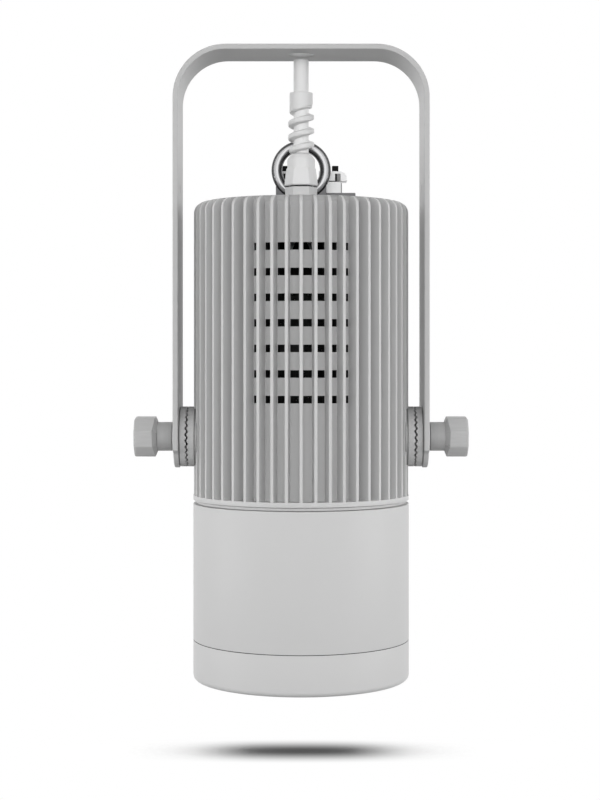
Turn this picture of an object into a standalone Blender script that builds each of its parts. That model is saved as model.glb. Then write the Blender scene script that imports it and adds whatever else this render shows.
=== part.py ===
"""LED wash light: a finned cylindrical lamp head that tilts in a yoke, aimed straight down.

Metres, +Z up. The origin is the centre of the clamp hole in the yoke's outer top face,
which is what the lamp hangs by. The front is -Y. Head pieces are placed from the tilt axis.
"""

import math

import bmesh
import bpy
from mathutils import Matrix, Vector

# Fits
SEAT_GAP = 0.0003
HOLE_PLAY = 0.0003
CUT_PAST = 0.0010

# Lower housing, bezel and window. The other head pieces take their widths from the housing
HOUSING_RADIUS = 0.0600
HOUSING_WALL = 0.0034
HOUSING_HEIGHT = 0.0751
HOUSING_JOINT = 0.0021
HOUSING_LIP = 0.0025
HOUSING_LIP_WIDTH = 0.0065
SPIGOT_STEP = 0.0017
SPIGOT_LENGTH = 0.0080
SEAL_INSET = 0.00185
BEZEL_HEIGHT = 0.0225
BEZEL_LIP = 0.0034
BEZEL_LIP_WIDTH = 0.0070
BEZEL_EDGE = 0.0030
WINDOW_THICKNESS = 0.0040
GASKET_THICKNESS = 0.0014
GASKET_WIDTH = 0.0026

# Finned heatsink
FIN_COUNT = 48
FIN_INSET = 0.00025
FIN_DEPTH = 0.00785
FIN_THICKNESS = 0.00165
FIN_CROWN_RADIUS = 0.0060
SINK_WALL = 0.0040
SINK_TOP = 0.1300
SINK_BOTTOM = -0.0348
FOOT_HEIGHT = 0.0027
FOOT_LIP_WIDTH = 0.0049
FOOT_HUB_HEIGHT = 0.0088
PAD_STEP = 0.0027
VENT_ROWS = 7
VENTS_EACH_SIDE = 4
VENT_SIZE = 0.0040
VENT_TOP_DROP = 0.0269
VENT_PITCH = 0.01355
BOSS_RADIUS = 0.0045
BOSS_INSET = 0.0039
BOSS_HEIGHT = 0.0140
BOSS_COUNT = 4

# Yoke strap
YOKE_SIDE_GAP = 0.0073
YOKE_THICKNESS = 0.0030
YOKE_WIDTH = 0.0410
YOKE_HEADROOM = 0.0856
YOKE_BEND_RADIUS = 0.0260
YOKE_END_MARGIN = 0.0006
YOKE_SHOULDER_DROP = 0.0071
YOKE_SHOULDER_FALL = 0.0019
CLAMP_HOLE_RADIUS = 0.00675
SIDE_HOLE_RADIUS = 0.0024
SIDE_HOLE_RISE = 0.1380
BEND_STEPS = 6
END_STEPS = 12

# Serrated tilt discs
DISC_RADIUS = 0.0167
DISC_POCKET_DEPTH = 0.0029
YOKE_DISC_THICKNESS = 0.0042
DISC_WELL_DEPTH = 0.0005
DISC_EDGE = 0.0011
TOOTH_COUNT = 30
TOOTH_LENGTH = 0.0062
TOOTH_HEIGHT = 0.00085
TOOTH_CLEARANCE = 0.0003

# Tilt knobs
STUD_RADIUS = 0.0040
STUD_INSET = 0.0021
STUD_IN_KNOB = 0.0130
WASHER_THICKNESS = 0.0008
KNOB_NECK_RADIUS = 0.00805
KNOB_NECK_LENGTH = 0.0082
KNOB_HEAD_STEP = 0.00355
KNOB_HEAD_LENGTH = 0.0128
KNOB_SHOULDER = 0.0016
KNOB_EDGE = 0.0015
KNOB_SIDES = 8
KNOB_TURN = math.radians(16.6)

# Light engine
PLATE_INSET = 0.0095
PLATE_THICKNESS = 0.0059
BOARD_THICKNESS = 0.0016
LED_BOARD_PLAY = 0.0005
OPTIC_COUNT = 6
OPTIC_GAP = 0.0012
OPTIC_TOP_RADIUS = 0.0062
OPTIC_RIM_RADIUS = 0.0154
OPTIC_HEIGHT = 0.0220
OPTIC_WEB = 0.0018
OPTIC_WEB_INSET = 0.0063
EMITTER_SIZE = 0.0050
EMITTER_HEIGHT = 0.0012
HOLDER_THICKNESS = 0.0030
HOLDER_LEDGE = 0.0014
HOLDER_POST_RADIUS = 0.0022
HOLDER_POST_INSET = 0.0025
BAFFLE_WALL = 0.0020

# Fan
FAN_SIZE = 0.0600
FAN_HEIGHT = 0.0150
FAN_RISE = 0.0123
FAN_WALL = 0.0015
FAN_FLOOR = 0.0040
FAN_POST_INSET = 0.0050
FAN_POST_RADIUS = 0.0028
FAN_HUB_RADIUS = 0.0120
FAN_BLADES = 7
FAN_BLADE_GAP = 0.0010
FAN_BLADE_THICKNESS = 0.0014
FAN_BLADE_SHARE = 0.7
FAN_BLADE_TILT = math.radians(35)

# Electronics on their hung chassis
CHASSIS_WIDTH = 0.0700
CHASSIS_LIFT = 0.0105
CHASSIS_DROP = 0.0223
CHASSIS_THICKNESS = 0.0015
CHASSIS_FOOT_DEPTH = 0.0160
CHASSIS_FOOT_WIDTH = 0.0140
SPACER_RADIUS = 0.0030
SPACER_INSET = 0.0050
BOARD_SIDE_MARGIN = 0.0030
BOARD_LOW_MARGIN = 0.0050
BOARD_HIGH_MARGIN = 0.0080
BOARD_STANDOFF = 0.0050
STANDOFF_SPREAD = 0.8
STANDOFF_SHARES = (0.1, 0.9)
CHIP_SIZE = 0.0120
CHIP_HEIGHT = 0.0022
CHIP_SHARE = 0.4
CHIP_LEFT_X = -0.0140
CHIP_RIGHT_X = 0.0120
COMPONENT_SHARE = 0.35
TRANSFORMER_WIDTH = 0.0240
TRANSFORMER_DEPTH = 0.0160
TRANSFORMER_HEIGHT = 0.0220
TRANSFORMER_X = -0.0100
CAPACITOR_RADIUS = 0.0065
CAPACITOR_LENGTH = 0.0200
CAPACITOR_X = 0.0140
TERMINAL_WIDTH = 0.0240
TERMINAL_SIZE = 0.0100
TERMINAL_INSET = 0.0010

# Top cover and the screws
COVER_THICKNESS = 0.0037
COVER_SEAT = 0.0018
SCREW_RADIUS = 0.0015
SCREW_HEAD_RADIUS = 0.0028
SCREW_HEAD_HEIGHT = 0.0016
SCREW_SHARE = 0.6
SCREW_HOLE_SHARE = 0.8
HOUSING_SCREW_INSET = 0.0032
HOUSING_SCREWS = 3

# Supply cable, cable gland and spiral guard
CABLE_RADIUS = 0.0042
CABLE_END_GAP = 0.0027
GLAND_THREAD_WALL = 0.0029
GLAND_THREAD_BELOW = 0.0130
GLAND_BODY_STEP = 0.00165
GLAND_BODY_HEIGHT = 0.0089
GLAND_NECK_WALL = 0.0017
GLAND_NECK_HEIGHT = 0.0081
GLAND_NUT_GAP = 0.0008
GLAND_HEX_STEP = 0.0019
GLAND_HEX_HEIGHT = 0.0100
GLAND_DOME_WALL = 0.0015
GLAND_DOME_HEIGHT = 0.0078
GLAND_DOME_EDGE = 0.0024
LOCKNUT_STEP = 0.0026
LOCKNUT_HEIGHT = 0.0040
SEAL_HEIGHT = 0.0060
GUARD_COLLAR_WALL = 0.0018
GUARD_COLLAR_HEIGHT = 0.0090
GUARD_WIRE_RADIUS = 0.0013
GUARD_WIRE_GAP = 0.0004
GUARD_PITCH = 0.0076
GUARD_TURNS = 2.75
GUARD_POINTS_PER_TURN = 10
LEAD_RADIUS = 0.0013
LEAD_SPREAD = 0.0020
LEAD_STEPS = 8

# Safety eye behind the gland
EYE_CENTRE_RISE = 0.0200
EYE_RING_RADIUS = 0.0137
EYE_WIRE_RADIUS = 0.0031
EYE_SHANK_RADIUS = 0.0030
EYE_SHANK_SHARE = 0.2
EYE_BASE_WIDTH = 0.0287
EYE_BASE_DEPTH = 0.0100
EYE_BASE_HEIGHT = 0.0118
EYE_SCREW_OFFSET = 0.0100
EYE_SCREW_SHARE = 0.25
EYE_HOLE_SHARE = 0.35

# Data sockets with flip caps, behind the eye
SOCKET_DEPTH = 0.0140
SOCKET_WIDTH = 0.0128
SOCKET_RISE = 0.0143
SOCKET_BELOW = 0.0080
SOCKET_FLOOR = 0.0070
SOCKET_SIDE_WALL = 0.0016
SOCKET_END_WALL = 0.0030
SOCKET_LEFT_X = -0.0061
SOCKET_RIGHT_X = 0.0166
RAIL_WIDTH = 0.0510
RAIL_CENTRE_X = 0.0055
RAIL_DEPTH = 0.0172
RAIL_GAP = 0.0010
RAIL_THICKNESS = 0.0012
RAIL_SCREW_INSET = 0.0027
CAP_THICKNESS = 0.0054
CAP_OVERHANG = 0.0031
CAP_REAR_STEP = 0.0015
CAP_CORNER = 0.0040
HINGE_BEHIND = 0.0017
HINGE_RISE = 0.0021
BARREL_RADIUS = 0.0016
BARREL_HALF = 0.0030
TONGUE_SHARE = 0.8
EAR_RADIUS = 0.0020
EAR_WIDTH = 0.0020
EAR_DROP = 0.0053
PIN_RADIUS = 0.0008
TAB_OFFSET_X = 0.0029
TAB_WIDTH = 0.0036
TAB_HEIGHT = 0.0028
TAB_DEPTH = 0.0070

# Finishes: colour, roughness, metallic
POWDER_COAT = ((0.62, 0.62, 0.62), 0.55, 0.0)
CAST_SHADE = ((0.50, 0.50, 0.50), 0.60, 0.0)
LIGHT_PLASTIC = ((0.72, 0.72, 0.72), 0.45, 0.0)
WHITE_PLASTIC = ((0.90, 0.90, 0.90), 0.40, 0.0)
BLACK_PLASTIC = ((0.02, 0.02, 0.02), 0.50, 0.0)
DARK_METAL = ((0.16, 0.16, 0.17), 0.40, 0.8)
POLISHED_STEEL = ((0.75, 0.75, 0.76), 0.15, 1.0)
PLAIN_STEEL = ((0.55, 0.55, 0.56), 0.35, 1.0)
BARE_ALUMINIUM = ((0.70, 0.70, 0.71), 0.35, 1.0)
RUBBER = ((0.03, 0.03, 0.03), 0.80, 0.0)
CLEAR_GLASS = ((0.85, 0.90, 0.90), 0.05, 0.0)
CIRCUIT_BOARD = ((0.03, 0.16, 0.08), 0.50, 0.0)
COPPER_BROWN = ((0.45, 0.20, 0.08), 0.40, 0.5)

# Facets of the round shapes
ROUND = 48
INNER_ROUND = 24
SMALL_ROUND = 12
TINY_ROUND = 8

# Heights of the housing and bezel, from the top down
HOUSING_TOP = SINK_BOTTOM - HOUSING_JOINT
HOUSING_BOTTOM = HOUSING_TOP - HOUSING_HEIGHT
BEZEL_BOTTOM = HOUSING_BOTTOM - BEZEL_HEIGHT
WINDOW_BOTTOM = BEZEL_BOTTOM + BEZEL_LIP + SEAT_GAP
GASKET_BOTTOM = WINDOW_BOTTOM + WINDOW_THICKNESS + SEAT_GAP
BAFFLE_BOTTOM = GASKET_BOTTOM + GASKET_THICKNESS + SEAT_GAP

# Widths of the head, from the outside in
SPIGOT_RADIUS = HOUSING_RADIUS - SPIGOT_STEP
SEAL_RADIUS = HOUSING_RADIUS - SEAL_INSET
BAFFLE_RADIUS = HOUSING_RADIUS - HOUSING_WALL - SEAT_GAP
BEZEL_APERTURE = HOUSING_RADIUS - BEZEL_LIP_WIDTH
FIN_TIP_RADIUS = HOUSING_RADIUS - FIN_INSET
FIN_ROOT_RADIUS = FIN_TIP_RADIUS - FIN_DEPTH
FIN_STEP = 2 * math.pi / FIN_COUNT
SINK_BORE_RADIUS = FIN_ROOT_RADIUS - SINK_WALL
FOOT_BORE_RADIUS = SINK_BORE_RADIUS - FOOT_LIP_WIDTH
COVER_RADIUS = SINK_BORE_RADIUS + COVER_SEAT
COVER_SCREW_CIRCLE = SINK_BORE_RADIUS - BOSS_INSET
PLATE_RADIUS = HOUSING_RADIUS - PLATE_INSET
HOUSING_SCREW_CIRCLE = PLATE_RADIUS - HOUSING_SCREW_INSET
HOUSING_LIP_BORE = PLATE_RADIUS - HOUSING_LIP_WIDTH
LED_BOARD_RADIUS = HOUSING_LIP_BORE - LED_BOARD_PLAY
HOLDER_POST_CIRCLE = LED_BOARD_RADIUS - HOLDER_POST_INSET
HOLDER_HOLE_RADIUS = OPTIC_RIM_RADIUS - HOLDER_LEDGE
OPTIC_CIRCLE = 2 * OPTIC_RIM_RADIUS + OPTIC_GAP
OPTIC_WEB_RADIUS = BAFFLE_RADIUS - OPTIC_WEB_INSET

# The yoke, the discs and the knobs, from the tilt axis out
YOKE_DROP = SINK_TOP + YOKE_HEADROOM
PIVOT_Z = -YOKE_DROP
YOKE_INNER_X = HOUSING_RADIUS + YOKE_SIDE_GAP
YOKE_OUTER_X = YOKE_INNER_X + YOKE_THICKNESS
YOKE_END_RADIUS = DISC_RADIUS + YOKE_END_MARGIN
DISC_SEAT_X = HOUSING_RADIUS - DISC_POCKET_DEPTH
DISC_MEET_X = YOKE_INNER_X - YOKE_DISC_THICKNESS
DISC_WELL_RADIUS = DISC_RADIUS - TOOTH_LENGTH
PAD_RADIUS = DISC_RADIUS - PAD_STEP
STUD_INNER_X = SINK_BORE_RADIUS + STUD_INSET
STUD_HOLE_RADIUS = STUD_RADIUS + HOLE_PLAY
KNOB_START = YOKE_OUTER_X + SEAT_GAP + WASHER_THICKNESS + SEAT_GAP
KNOB_HEAD_RADIUS = KNOB_NECK_RADIUS + KNOB_HEAD_STEP

# Heights of the light engine, from the heatsink's foot down
PLATE_TOP = SINK_BOTTOM - SEAT_GAP
PLATE_BOTTOM = PLATE_TOP - PLATE_THICKNESS
LED_BOARD_TOP = PLATE_BOTTOM - SEAT_GAP
LED_BOARD_BOTTOM = LED_BOARD_TOP - BOARD_THICKNESS
OPTIC_TOP = LED_BOARD_BOTTOM - EMITTER_HEIGHT - SEAT_GAP
HOLDER_TOP = OPTIC_TOP - OPTIC_HEIGHT - SEAT_GAP
BAFFLE_TOP = HOLDER_TOP - HOLDER_THICKNESS - SEAT_GAP

# The fan and the electronics, from the foot up to the cover
COVER_BOTTOM = SINK_TOP - COVER_THICKNESS
FAN_BOTTOM = SINK_BOTTOM + FAN_RISE
FAN_BORE_RADIUS = FAN_SIZE / 2 - FAN_WALL
FAN_BLADE_REACH = FAN_BORE_RADIUS - FAN_BLADE_GAP
FAN_HUB_HEIGHT = FAN_HEIGHT - FAN_FLOOR
CHASSIS_BOTTOM = FAN_BOTTOM + FAN_HEIGHT + CHASSIS_LIFT
CHASSIS_TOP = COVER_BOTTOM - CHASSIS_DROP
SPACER_OFFSET_X = CHASSIS_WIDTH / 2 - SPACER_INSET
BOARD_WIDTH = CHASSIS_WIDTH - 2 * BOARD_SIDE_MARGIN
BOARD_BOTTOM = CHASSIS_BOTTOM + BOARD_LOW_MARGIN
BOARD_HEIGHT = CHASSIS_TOP - BOARD_HIGH_MARGIN - BOARD_BOTTOM
TERMINAL_TOP = BOARD_BOTTOM + BOARD_HEIGHT - TERMINAL_INSET
VENT_TOP_ROW = SINK_TOP - VENT_TOP_DROP

# The gland and the guard, round the cable
CABLE_PASSAGE = CABLE_RADIUS + SEAT_GAP
CABLE_END = YOKE_DROP - YOKE_THICKNESS - CABLE_END_GAP
GLAND_NECK_RADIUS = CABLE_PASSAGE + GLAND_NECK_WALL
GLAND_DOME_RADIUS = GLAND_NECK_RADIUS + GLAND_DOME_WALL
GLAND_NUT_RADIUS = GLAND_DOME_RADIUS + GLAND_HEX_STEP
GLAND_THREAD_RADIUS = CABLE_PASSAGE + GLAND_THREAD_WALL
GLAND_BODY_RADIUS = GLAND_THREAD_RADIUS + GLAND_BODY_STEP
LOCKNUT_RADIUS = GLAND_THREAD_RADIUS + LOCKNUT_STEP
GLAND_BODY_TOP = SINK_TOP + GLAND_BODY_HEIGHT
GLAND_NECK_TOP = GLAND_BODY_TOP + GLAND_NECK_HEIGHT
GLAND_NUT_BOTTOM = GLAND_BODY_TOP + GLAND_NUT_GAP
GLAND_HEX_TOP = GLAND_NUT_BOTTOM + GLAND_HEX_HEIGHT
GLAND_DOME_TOP = GLAND_HEX_TOP + GLAND_DOME_HEIGHT
GUARD_COLLAR_RADIUS = CABLE_PASSAGE + GUARD_COLLAR_WALL
GUARD_CURL_RADIUS = CABLE_RADIUS + GUARD_WIRE_GAP + GUARD_WIRE_RADIUS

# The eye and the sockets, one behind the other from the gland
EYE_Y = GLAND_NUT_RADIUS + SEAT_GAP + EYE_BASE_DEPTH / 2
EYE_CENTRE_Z = SINK_TOP + EYE_CENTRE_RISE
SOCKET_Y = EYE_Y + EYE_BASE_DEPTH / 2 + RAIL_GAP + RAIL_DEPTH / 2
SOCKET_TOP = SINK_TOP + SOCKET_RISE
SOCKET_MOUTH_WIDTH = SOCKET_WIDTH - 2 * SOCKET_SIDE_WALL
SOCKET_MOUTH_DEPTH = SOCKET_DEPTH - 2 * SOCKET_END_WALL
SOCKET_MOUTH_FLOOR = SINK_TOP - SOCKET_BELOW + SOCKET_FLOOR
RAIL_SCREW_OFFSET = RAIL_WIDTH / 2 - RAIL_SCREW_INSET
CAP_REACH_IN = SOCKET_WIDTH / 2
CAP_REACH_OUT = SOCKET_WIDTH / 2 + CAP_OVERHANG
CAP_FRONT_Y = SOCKET_Y - SOCKET_DEPTH / 2
CAP_REAR_Y = SOCKET_Y + SOCKET_DEPTH / 2 - CAP_REAR_STEP
HINGE_Y = SOCKET_Y + SOCKET_DEPTH / 2 + HINGE_BEHIND
HINGE_Z = SOCKET_TOP + HINGE_RISE
EAR_FOOT_Z = SOCKET_TOP - EAR_DROP


def clear_scene():
    for obj in list(bpy.data.objects):
        bpy.data.objects.remove(obj, do_unlink=True)


def new_collection(name):
    collection = bpy.data.collections.new(name)
    bpy.context.scene.collection.children.link(collection)
    return collection


def give_finish(obj, finish):
    colour, roughness, metallic = finish
    material = bpy.data.materials.new(obj.name + "_finish")
    material.use_nodes = True
    shader = material.node_tree.nodes["Principled BSDF"]
    shader.inputs["Base Color"].default_value = (*colour, 1.0)
    shader.inputs["Roughness"].default_value = roughness
    shader.inputs["Metallic"].default_value = metallic
    obj.data.materials.append(material)


def place(obj, parent, as_cutter=False):
    """Links the object to its collection under its joint's empty."""
    collection = CUTTERS if as_cutter else PARTS
    collection.objects.link(obj)
    obj.parent = parent
    if as_cutter:
        obj.hide_render = True
        obj.display_type = "WIRE"
    return obj


def part_from(name, bm, finish, parent):
    """Turns a bmesh into a named part with its own material."""
    mesh = bpy.data.meshes.new(name)
    bmesh.ops.recalc_face_normals(bm, faces=bm.faces)
    bm.to_mesh(mesh)
    bm.free()
    mesh.shade_smooth()
    mesh.set_sharp_from_angle(angle=math.radians(35))
    obj = bpy.data.objects.new(name, mesh)
    give_finish(obj, finish)
    return place(obj, parent)


def cutter_from(name, bm, parent):
    mesh = bpy.data.meshes.new(name)
    bmesh.ops.recalc_face_normals(bm, faces=bm.faces)
    bm.to_mesh(mesh)
    bm.free()
    return place(bpy.data.objects.new(name, mesh), parent, as_cutter=True)


def combine(target, tool, operation):
    modifier = target.modifiers.new(tool.name, "BOOLEAN")
    modifier.operation = operation
    modifier.object = tool
    modifier.solver = "EXACT"


def cut(target, tool):
    combine(target, tool, "DIFFERENCE")


def join(target, tool):
    combine(target, tool, "UNION")


def add_box(bm, low, high):
    """A box between two corners."""
    low = Vector(low)
    high = Vector(high)
    size = high - low
    frame = Matrix.Translation((low + high) / 2) @ Matrix.Diagonal((*size, 1.0))
    return bmesh.ops.create_cube(bm, size=1.0, matrix=frame)["verts"]


def add_rod(bm, radius, start, end, sides=SMALL_ROUND, end_radius=None, turn=0.0):
    """A cylinder, cone or prism from start to end. turn is the first corner's angle."""
    start = Vector(start)
    end = Vector(end)
    along = end - start
    facing = along.to_track_quat("Z", "Y").to_matrix().to_4x4()
    frame = Matrix.Translation((start + end) / 2) @ facing
    frame = frame @ Matrix.Rotation(turn - math.pi / 2, 4, "Z")
    made = bmesh.ops.create_cone(
        bm,
        cap_ends=True,
        segments=sides,
        radius1=radius,
        radius2=radius if end_radius is None else end_radius,
        depth=along.length,
        matrix=frame,
    )
    return made["verts"]


def add_upright(bm, radius, x, y, low, high, sides=SMALL_ROUND, turn=0.0):
    return add_rod(bm, radius, (x, y, low), (x, y, high), sides, None, turn)


def rod_cutter(name, radius, start, end, parent, sides=SMALL_ROUND):
    bm = bmesh.new()
    add_rod(bm, radius, start, end, sides)
    return cutter_from(name, bm, parent)


def around(count, radius, first=0.0):
    """Points evenly spaced on a circle."""
    places = []
    for index in range(count):
        angle = first + 2 * math.pi * index / count
        places.append((radius * math.cos(angle), radius * math.sin(angle)))
    return places


def arc(centre_r, centre_z, radius, start, end, steps):
    """Points of an arc in the plane of a turned profile, angles in degrees."""
    points = []
    for index in range(steps + 1):
        angle = math.radians(start + (end - start) * index / steps)
        points.append((centre_r + radius * math.cos(angle), centre_z + radius * math.sin(angle)))
    return points


def turned(name, profile, parent, finish=None, steps=ROUND):
    """Spins a profile of (radius, height) points about Z. The outer side runs downwards."""
    bm = bmesh.new()
    corners = [bm.verts.new((radius, 0.0, height)) for radius, height in profile]
    for first, second in zip(corners, corners[1:]):
        bm.edges.new((first, second))
    if profile[0][0] > 0.0:
        bm.edges.new((corners[-1], corners[0]))
    mesh = bpy.data.meshes.new(name)
    bm.to_mesh(mesh)
    bm.free()
    obj = bpy.data.objects.new(name, mesh)
    screw = obj.modifiers.new("turn", "SCREW")
    screw.steps = steps
    screw.render_steps = steps
    screw.use_merge_vertices = True
    screw.merge_threshold = 0.00001
    if finish is None:
        return place(obj, parent, as_cutter=True)
    give_finish(obj, finish)
    return place(obj, parent)


def ring_profile(inner, outer, low, high):
    return [(inner, high), (outer, high), (outer, low), (inner, low)]


def flat_outline(name, loops, thickness, parent, finish, turned_by=None):
    """A flat outline, with holes, given its thickness along its own Z and centred on it."""
    curve = bpy.data.curves.new(name + "_outline", "CURVE")
    curve.dimensions = "2D"
    curve.fill_mode = "BOTH"
    curve.extrude = thickness / 2
    for loop in loops:
        spline = curve.splines.new("POLY")
        spline.points.add(len(loop) - 1)
        for point, (x, y) in zip(spline.points, loop):
            point.co = (x, y, 0.0, 1.0)
        spline.use_cyclic_u = True
    return mesh_of_curve(name, curve, parent, finish, turned_by)


def tube_along(name, points, radius, parent, finish):
    """A round tube of one unbroken spline through the points."""
    curve = bpy.data.curves.new(name + "_path", "CURVE")
    curve.dimensions = "3D"
    curve.bevel_depth = radius
    curve.bevel_resolution = 1
    curve.use_fill_caps = True
    spline = curve.splines.new("POLY")
    spline.points.add(len(points) - 1)
    for point, place_at in zip(spline.points, points):
        point.co = (*place_at, 1.0)
    return mesh_of_curve(name, curve, parent, finish)


def mesh_of_curve(name, curve, parent, finish, turned_by=None):
    """Makes the curve a welded mesh. No finish makes it a cutter."""
    holder = bpy.data.objects.new(name + "_curve", curve)
    bpy.context.scene.collection.objects.link(holder)
    bpy.context.view_layer.update()
    graph = bpy.context.evaluated_depsgraph_get()
    mesh = bpy.data.meshes.new_from_object(holder.evaluated_get(graph))
    bpy.data.objects.remove(holder, do_unlink=True)
    bm = bmesh.new()
    bm.from_mesh(mesh)
    bmesh.ops.remove_doubles(bm, verts=bm.verts, dist=0.000001)
    if turned_by is not None:
        bmesh.ops.transform(bm, matrix=turned_by, verts=bm.verts)
    bpy.data.meshes.remove(mesh)
    if finish is None:
        return cutter_from(name, bm, parent)
    return part_from(name, bm, finish, parent)


def joint_empty(name, location, turn=(0.0, 0.0, 0.0)):
    """An empty on a joint's axis, which carries the pieces that are measured from it."""
    empty = bpy.data.objects.new(name, None)
    PARTS.objects.link(empty)
    empty.location = location
    empty.rotation_euler = turn
    return empty


def make_yoke():
    """A bent strap: two legs and a crossbar, with round leg ends about the tilt axis."""
    middle_x = YOKE_INNER_X + YOKE_THICKNESS / 2
    middle_top = -YOKE_THICKNESS / 2
    bend = YOKE_BEND_RADIUS + YOKE_THICKNESS / 2
    leg_end = PIVOT_Z - YOKE_END_RADIUS - CUT_PAST
    path = [(middle_x, leg_end)]
    path += arc(middle_x - bend, middle_top - bend, bend, 0, 90, BEND_STEPS)
    path += [(-x, z) for x, z in reversed(path)]
    bm = bmesh.new()
    front = [bm.verts.new((x, -YOKE_WIDTH / 2, z)) for x, z in path]
    edges = [bm.edges.new(pair) for pair in zip(front, front[1:])]
    across = bmesh.ops.extrude_edge_only(bm, edges=edges)["geom"]
    moved = [item for item in across if isinstance(item, bmesh.types.BMVert)]
    bmesh.ops.translate(bm, vec=(0.0, YOKE_WIDTH, 0.0), verts=moved)
    yoke = part_from("yoke", bm, POWDER_COAT, None)
    solidify = yoke.modifiers.new("thickness", "SOLIDIFY")
    solidify.thickness = YOKE_THICKNESS
    solidify.offset = 0.0
    solidify.use_even_offset = True
    cut(yoke, yoke_end_cutter())
    low = -2 * YOKE_THICKNESS
    high = YOKE_THICKNESS
    cut(yoke, rod_cutter("clamp_hole", CLAMP_HOLE_RADIUS, (0, 0, low), (0, 0, high), None, 32))
    side_z = PIVOT_Z + SIDE_HOLE_RISE
    reach = YOKE_OUTER_X + CUT_PAST
    holes = (("side_holes", SIDE_HOLE_RADIUS, side_z), ("stud_holes", STUD_HOLE_RADIUS, PIVOT_Z))
    for name, radius, z in holes:
        cut(yoke, rod_cutter(name, radius, (-reach, 0, z), (reach, 0, z), None))


def yoke_end_cutter():
    """Trims both legs to a round end below two shoulders."""
    half = YOKE_WIDTH / 2
    outside = half + CUT_PAST
    corner_z = -YOKE_SHOULDER_DROP - YOKE_SHOULDER_FALL
    corner_angle = math.degrees(math.asin(corner_z / YOKE_END_RADIUS))
    bottom = -YOKE_END_RADIUS - 2 * CUT_PAST
    outline = [(-outside, bottom), (outside, bottom)]
    outline += [(outside, -YOKE_SHOULDER_DROP), (half, -YOKE_SHOULDER_DROP)]
    outline += arc(0.0, 0.0, YOKE_END_RADIUS, corner_angle, -180 - corner_angle, END_STEPS)
    outline += [(-half, -YOKE_SHOULDER_DROP), (-outside, -YOKE_SHOULDER_DROP)]
    upright = Matrix(((0, 0, 1, 0), (1, 0, 0, 0), (0, 1, 0, PIVOT_Z), (0, 0, 0, 1)))
    across = 2 * (YOKE_OUTER_X + CUT_PAST)
    return flat_outline("yoke_end_cutter", [outline], across, None, None, upright)


def toothed_disc(name, seat, meet, side, finish):
    """A tilt disc with radial teeth on its meeting face, seated at the other face."""
    towards = 1.0 if meet > seat else -1.0
    bm = bmesh.new()
    add_rod(bm, DISC_RADIUS, (0, 0, min(seat, meet)), (0, 0, max(seat, meet)), 2 * TOOTH_COUNT)
    face = max(bm.faces, key=lambda item: item.calc_center_median().z * towards)
    band = DISC_RADIUS - DISC_WELL_RADIUS
    bmesh.ops.inset_individual(bm, faces=[face], thickness=band, use_even_offset=False)
    for corner in bm.verts:
        if abs(corner.co.z - meet) > SEAT_GAP:
            continue
        angle = math.atan2(corner.co.y, corner.co.x)
        even = round(angle * TOOTH_COUNT / math.pi) % 2 == 0
        corner.co.z += (0.5 if even else -0.5) * TOOTH_HEIGHT
    for corner in face.verts:
        corner.co.z = meet - towards * (TOOTH_HEIGHT / 2 + DISC_WELL_DEPTH)
    if towards > 0:
        rim = [edge for edge in bm.edges if all(abs(end.co.z - seat) < SEAT_GAP for end in edge.verts)]
        bmesh.ops.bevel(bm, geom=rim, offset=DISC_EDGE, segments=1, affect="EDGES", material=-1)
    disc = part_from(name, bm, finish, side)
    past = abs(meet - seat) + TOOTH_HEIGHT + CUT_PAST
    hole = rod_cutter(name + "_bore", STUD_HOLE_RADIUS, (0, 0, seat - past), (0, 0, seat + past), side)
    cut(disc, hole)


def make_tilt_lock(word, side, turn):
    """Discs, stud, washer and knob on one side. Local +Z points outwards."""
    half_gap = (TOOTH_HEIGHT + TOOTH_CLEARANCE) / 2
    toothed_disc(word + "_yoke_disc", YOKE_INNER_X - SEAT_GAP, DISC_MEET_X + half_gap, side, POWDER_COAT)
    toothed_disc(word + "_head_disc", DISC_SEAT_X + SEAT_GAP, DISC_MEET_X - half_gap, side, POWDER_COAT)
    bm = bmesh.new()
    add_rod(bm, STUD_RADIUS, (0, 0, STUD_INNER_X), (0, 0, KNOB_START + STUD_IN_KNOB))
    part_from(word + "_stud", bm, PLAIN_STEEL, side)
    washer_low = YOKE_OUTER_X + SEAT_GAP
    washer = ring_profile(STUD_HOLE_RADIUS, KNOB_NECK_RADIUS, washer_low, washer_low + WASHER_THICKNESS)
    turned(word + "_washer", washer, side, PLAIN_STEEL, 24)
    make_knob(word, side, turn)


def make_knob(word, side, turn):
    """A turned knob whose head is milled to flats, bored from the neck for its stud."""
    neck_end = KNOB_START + KNOB_NECK_LENGTH
    end = neck_end + KNOB_HEAD_LENGTH
    blank = KNOB_HEAD_RADIUS
    bore_end = KNOB_START + STUD_IN_KNOB + SEAT_GAP
    profile = [(0.0, end)]
    profile += arc(blank - KNOB_EDGE, end - KNOB_EDGE, KNOB_EDGE, 90, 0, 2)
    profile += [
        (blank, neck_end + KNOB_SHOULDER),
        (KNOB_NECK_RADIUS, neck_end),
        (KNOB_NECK_RADIUS, KNOB_START),
        (STUD_HOLE_RADIUS, KNOB_START),
        (STUD_HOLE_RADIUS, bore_end),
        (0.0, bore_end),
    ]
    knob = turned(word + "_knob", profile, side, LIGHT_PLASTIC, 24)
    bm = bmesh.new()
    add_rod(bm, blank, (0, 0, KNOB_START - CUT_PAST), (0, 0, end + CUT_PAST), KNOB_SIDES, None, turn)
    combine(knob, cutter_from(word + "_knob_flats", bm, side), "INTERSECT")


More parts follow.
